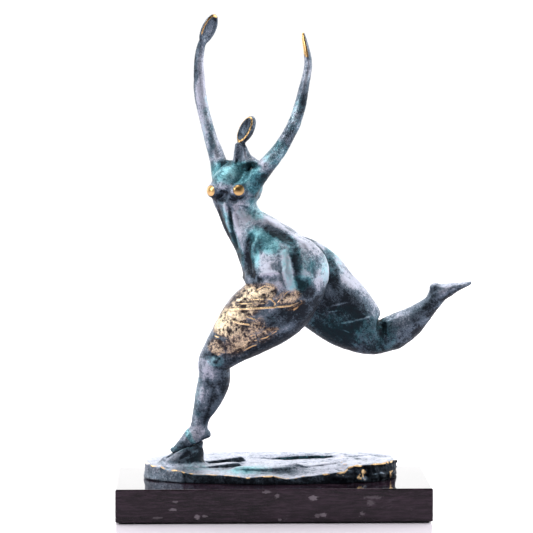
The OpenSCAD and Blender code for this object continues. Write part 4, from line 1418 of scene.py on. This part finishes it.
def bronze_material():
    """Slate and teal patina over bronze, worn bright where a piece's numbers say so; lightened with
    painted highlight and darkened with painted shade where its pale, dark and cavity numbers say
    so.
    """
    m = new_material("patinated_bronze")
    teal, pale, dark, cavity, gold, polished = (
        m.number(name) for name in ("teal", "pale", "dark", "cavity", "gold", "polished"))
    speckle = m.noise(1.05, 4, 0.7, warp=1.2)
    grain = m.noise(0.6, 3, 0.7)
    cloud = m.noise(7.0, 4, 0.6)
    raised = m.span(m.number("height"), -0.35, 0.35)
    # pale adds painted highlight; dark and cavity take it away as painted shade in creases, hollows
    # and on faces turned down
    tone = (0.41 + speckle.centred(1.5) + raised.centred(0.7) + cloud.centred(0.5)
            + 0.40 * pale - 0.55 * dark - 0.60 * cavity)
    grey = three_tones(m, tone, DARK_SLATE, SLATE, LAVENDER)
    green = three_tones(m, tone, DEEP_TEAL, TEAL, PALE_TEAL)
    patch = teal + m.noise(3.0, 4, 0.65).centred(1.3) + speckle.centred(0.8)
    patina = m.mix(m.span(patch, 0.1, 1.0, 0.08, 0.92), grey, green)
    between_gold = m.mix(m.span(tone, 0.25, 0.9), BROWN, DULL_MAUVE)
    patina = m.mix(m.span(gold, 0.1, 0.5, 0.0, 0.9), patina, between_gold)
    worn = 0.66 * gold + raised.centred(0.9) + speckle.centred(1.5) + grain.centred(1.3)
    worn = m.span(worn, 0.40, 0.95) * m.span(gold, 0.05, 0.35)
    line = m.span(m.number("line"), 0.25, 0.6)
    rubbed = m.span(polished, 0.35, 0.7)
    bare = m.math("MAXIMUM", m.math("MAXIMUM", worn, line), rubbed)
    # paler gold on raised points and where the rub is strongest: a painted highlight on the bare
    # bronze
    bright = speckle + raised.centred(0.6) + 0.85 * gold
    metal = m.mix(m.span(bright, 0.72, 1.35), GOLD, PALE_GOLD)
    metal = m.mix(0.6 * line, metal, LINE_GOLD)
    metal = m.mix(rubbed, metal, RICH_GOLD)
    # painted shade on the bare bronze: gold darkened to orange where the dark number lies
    metal = m.mix(0.7 * (dark * m.span(gold, 0.0, 0.3)), metal, SHADED_GOLD)
    rough = 0.42 - 0.14 * bare + 0.03 * rubbed + 0.14 * dark + grain.centred(0.25)
    fine = (0.7 * speckle + 0.3 * grain) * (1.0 - 0.8 * rubbed)
    return m.surface(Base_Color=m.mix(bare, patina, metal), Roughness=rough,
                     Metallic=0.78 + 0.22 * bare, Normal=m.bump(fine, 0.45, 0.9))


# Pale shell flecks on the plinth's front face: x, z, half width, half height and strength.
FLECKS = [
    (23.2, 15.6, 2.7, 1.5, 0.9), (29.4, 5.4, 2.2, 1.3, 0.9), (25.6, 4.9, 1.7, 1.2, 0.5),
    (-60.4, 8.8, 2.6, 0.8, 0.8), (-59.2, 13.6, 1.7, 0.8, 0.5), (-46.0, 4.4, 1.5, 1.6, 0.9),
    (-41.4, 4.9, 1.7, 0.8, 0.6), (-4.6, 19.4, 2.6, 1.0, 0.6), (59.0, 15.8, 5.5, 1.0, 0.35),
    (58.0, 12.6, 2.6, 1.6, 0.4), (-70.0, 4.0, 3.0, 0.8, 0.4), (3.4, 2.6, 1.2, 0.7, 0.5),
]


def marble_material():
    m = new_material("polished_dark_marble")
    warp = m.noise(26, 4, 0.65, stretch=(2.6, 1.4, 0.45), warp=0.8)
    grain = m.noise(1.8, 5, 0.75, stretch=(5.0, 5.0, 0.7))
    dust = m.noise(0.6, 3, 0.75)
    torn = m.noise(0.9, 3, 0.7, stretch=(1.8, 1.8, 0.7))
    base = m.mix(m.span(warp, 0.35, 0.7), (0.0040, 0.0015, 0.0034), (0.0190, 0.0095, 0.0165))
    base = m.mix(0.85 * m.span(grain, 0.42, 0.68), base, (0.044, 0.025, 0.039))
    base = m.mix(0.45 * m.span(dust, 0.58, 0.72), base, (0.090, 0.062, 0.083))
    fleck = 0.6 * (1.0 - m.span(m.cells(19.0) + torn.centred(0.34), 0.035, 0.075))
    for x, z, half_width, half_height, strength in FLECKS:
        patch = m.oval((x, PLINTH_LOW[1], z), (half_width, 2.0, half_height), torn)
        fleck = m.math("MAXIMUM", fleck, strength * patch)
    base = m.mix(0.7 * fleck, base, (0.27, 0.23, 0.26))
    vein = m.math("ABSOLUTE", m.noise(15, 5, 0.65, stretch=(3.2, 1.4, 0.6), warp=1.5) - 0.5)
    vein = 1.0 - m.span(vein, 0.0, 0.014)
    shown = m.noise(24, 2)
    base = m.mix(vein * m.span(shown, 0.5, 0.7, 0.0, 0.35), base, (0.16, 0.13, 0.16))
    base = m.mix(vein * m.span(shown, 0.3, 0.5, 0.6, 0.0), base, (0.001, 0.001, 0.001))
    rounded = m.make("Bevel", 0, {"Radius": 0.5 * MM}, samples=6)
    normal = m.bump(m.noise(0.8, 2), 0.01, 0.25, Normal=rounded)
    return m.surface(Base_Color=base, Roughness=0.05 + 0.12 * fleck, Normal=normal, IOR=1.35)


def machined_material(name, marks, cloud_mm, colours, rough, rough_spread):
    """Turned or brushed metal: fine marks round it, and clouds between two colours."""
    m = new_material(name)
    marks = m.noise(*marks[:2], 0.6, stretch=(marks[2], marks[2], 1))
    colour = m.mix(m.span(m.noise(cloud_mm, 3), 0.3, 0.7), *colours)
    return m.surface(Base_Color=colour, Roughness=rough + rough_spread * marks, Metallic=1.0,
                     Normal=m.bump(marks, 0.02, 0.5))


def dowel_material():
    return machined_material("dowel_bronze", (0.35, 2, 4), 4,
                             ((0.55, 0.35, 0.15), (0.74, 0.50, 0.24)), 0.26, 0.18)


def steel_material():
    return machined_material("zinc_plated_steel", (0.3, 3, 5), 5,
                             ((0.42, 0.43, 0.45), (0.60, 0.61, 0.63)), 0.24, 0.22)


def felt_material():
    m = new_material("black_felt")
    fibre = m.noise(0.45, 5, 0.75, warp=2.0)
    clump = m.noise(3.0, 3, 0.6)
    colour = m.mix(m.span(fibre, 0.3, 0.75), (0.006, 0.006, 0.007), (0.030, 0.030, 0.034))
    colour = m.mix(0.4 * clump, colour, (0.018, 0.018, 0.021))
    return m.surface(Base_Color=colour, Roughness=0.85 + 0.1 * fibre, Sheen_Weight=0.4,
                     Sheen_Roughness=0.5, Normal=m.bump(fibre, 0.25, 0.8))


def floor_material():
    m = new_material("white_floor")
    haze = m.noise(40, 3)
    colour = m.mix(haze, (0.91, 0.85, 0.93), (0.94, 0.88, 0.96))
    return m.surface(Base_Color=colour, Roughness=0.16 + 0.04 * haze)


def paint(piece, material):
    piece.data.materials.clear()
    piece.data.materials.append(material)


# ---------------------------------------------------------------- stage, light and camera

FLOOR_SIZE = 6.0
LIT_MIDDLE = (-0.01, 0, 0.16)
BACKDROP, DARK_FRONT, BRIGHT_BACK = 1.05, 0.03, 2.3
CAMERA_PLACE = (-0.05423, -1.88415, 0.30268)
CAMERA_TURN = (math.pi / 2 - 0.08049, 0.0, -0.02697)
CAMERA_LENS = 209.64


def make_camera():
    data = bpy.data.cameras.new("camera")
    data.lens = CAMERA_LENS
    data.sensor_width = 36.0
    data.clip_start = 0.05
    camera = bpy.data.objects.new("camera", data)
    camera.location = CAMERA_PLACE
    camera.rotation_euler = CAMERA_TURN
    bpy.context.scene.collection.objects.link(camera)
    bpy.context.scene.camera = camera


def make_floor():
    bm = bmesh.new()
    bmesh.ops.create_grid(bm, x_segments=4, y_segments=4, size=FLOOR_SIZE / 2)
    mesh = bpy.data.meshes.new("floor")
    bm.to_mesh(mesh)
    bm.free()
    floor = bpy.data.objects.new("floor", mesh)
    bpy.context.scene.collection.objects.link(floor)
    paint(floor, floor_material())


def soft_light(name, place, size, power):
    data = bpy.data.lights.new(name, "AREA")
    data.shape = "RECTANGLE"
    data.size, data.size_y = size
    data.energy = power
    light = bpy.data.objects.new(name, data)
    light.location = place
    aim = Vector(LIT_MIDDLE) - Vector(place)
    light.rotation_euler = aim.to_track_quat("-Z", "Y").to_euler()
    bpy.context.scene.collection.objects.link(light)


def make_lights():
    soft_light("left_softbox", (-1.1, -0.55, 0.75), (0.35, 0.9), 13.0)
    soft_light("right_softbox", (1.1, -0.15, 0.6), (0.35, 0.9), 9.0)
    soft_light("top_softbox", (-0.1, 0.15, 1.2), (0.8, 0.6), 8.0)


def make_world():
    """A bright studio all round, with a darker front where the room is."""
    world = bpy.data.worlds.new("studio")
    bpy.context.scene.world = world
    m = Nodes(world, "Generated")
    towards_back = m.make("SeparateXYZ", "Y", {0: m.place})
    glow = m.span(towards_back, -0.25, 0.95, DARK_FRONT, BRIGHT_BACK)
    seen = m.make("LightPath", "Is Camera Ray", {})
    strength = m.make("Mix", 0, {0: seen, 2: glow, 3: BACKDROP}, data_type="FLOAT")
    m.end("World", m.make("Background", 0, {"Color": (1, 1, 1), "Strength": strength}))


# ---------------------------------------------------------------- assembly


def stand_in(piece, node, material):
    """A piece that takes a CAD node's place."""
    paint(piece, material)
    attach(piece, "root")
    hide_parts(node)


def main():
    bpy.context.scene.view_settings.view_transform = "Standard"
    make_camera()
    make_world()
    make_lights()
    make_floor()
    bronze = bronze_material()
    for name, piece in build_figure().items():
        stand_in(piece, CASTING_NODES[name], bronze)
    stand_in(build_plate(), "ground_plate", bronze)
    felt = build_felt()
    stand_in(felt, "base_felt", felt_material())
    kept = {
        marble_material(): ["marble_plinth"],
        dowel_material(): ["neck_dowel", "right_shoulder_dowel", "left_shoulder_dowel",
                           "standing_hip_dowels", "trailing_hip_dowels", "foot_locating_dowel"],
        steel_material(): ["foot_stud", "foot_washer", "foot_nut", "base_bolts",
                           "base_flat_washers", "base_spring_washers"],
    }
    for material, nodes in kept.items():
        for node in nodes:
            paint(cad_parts[node], material)


main()
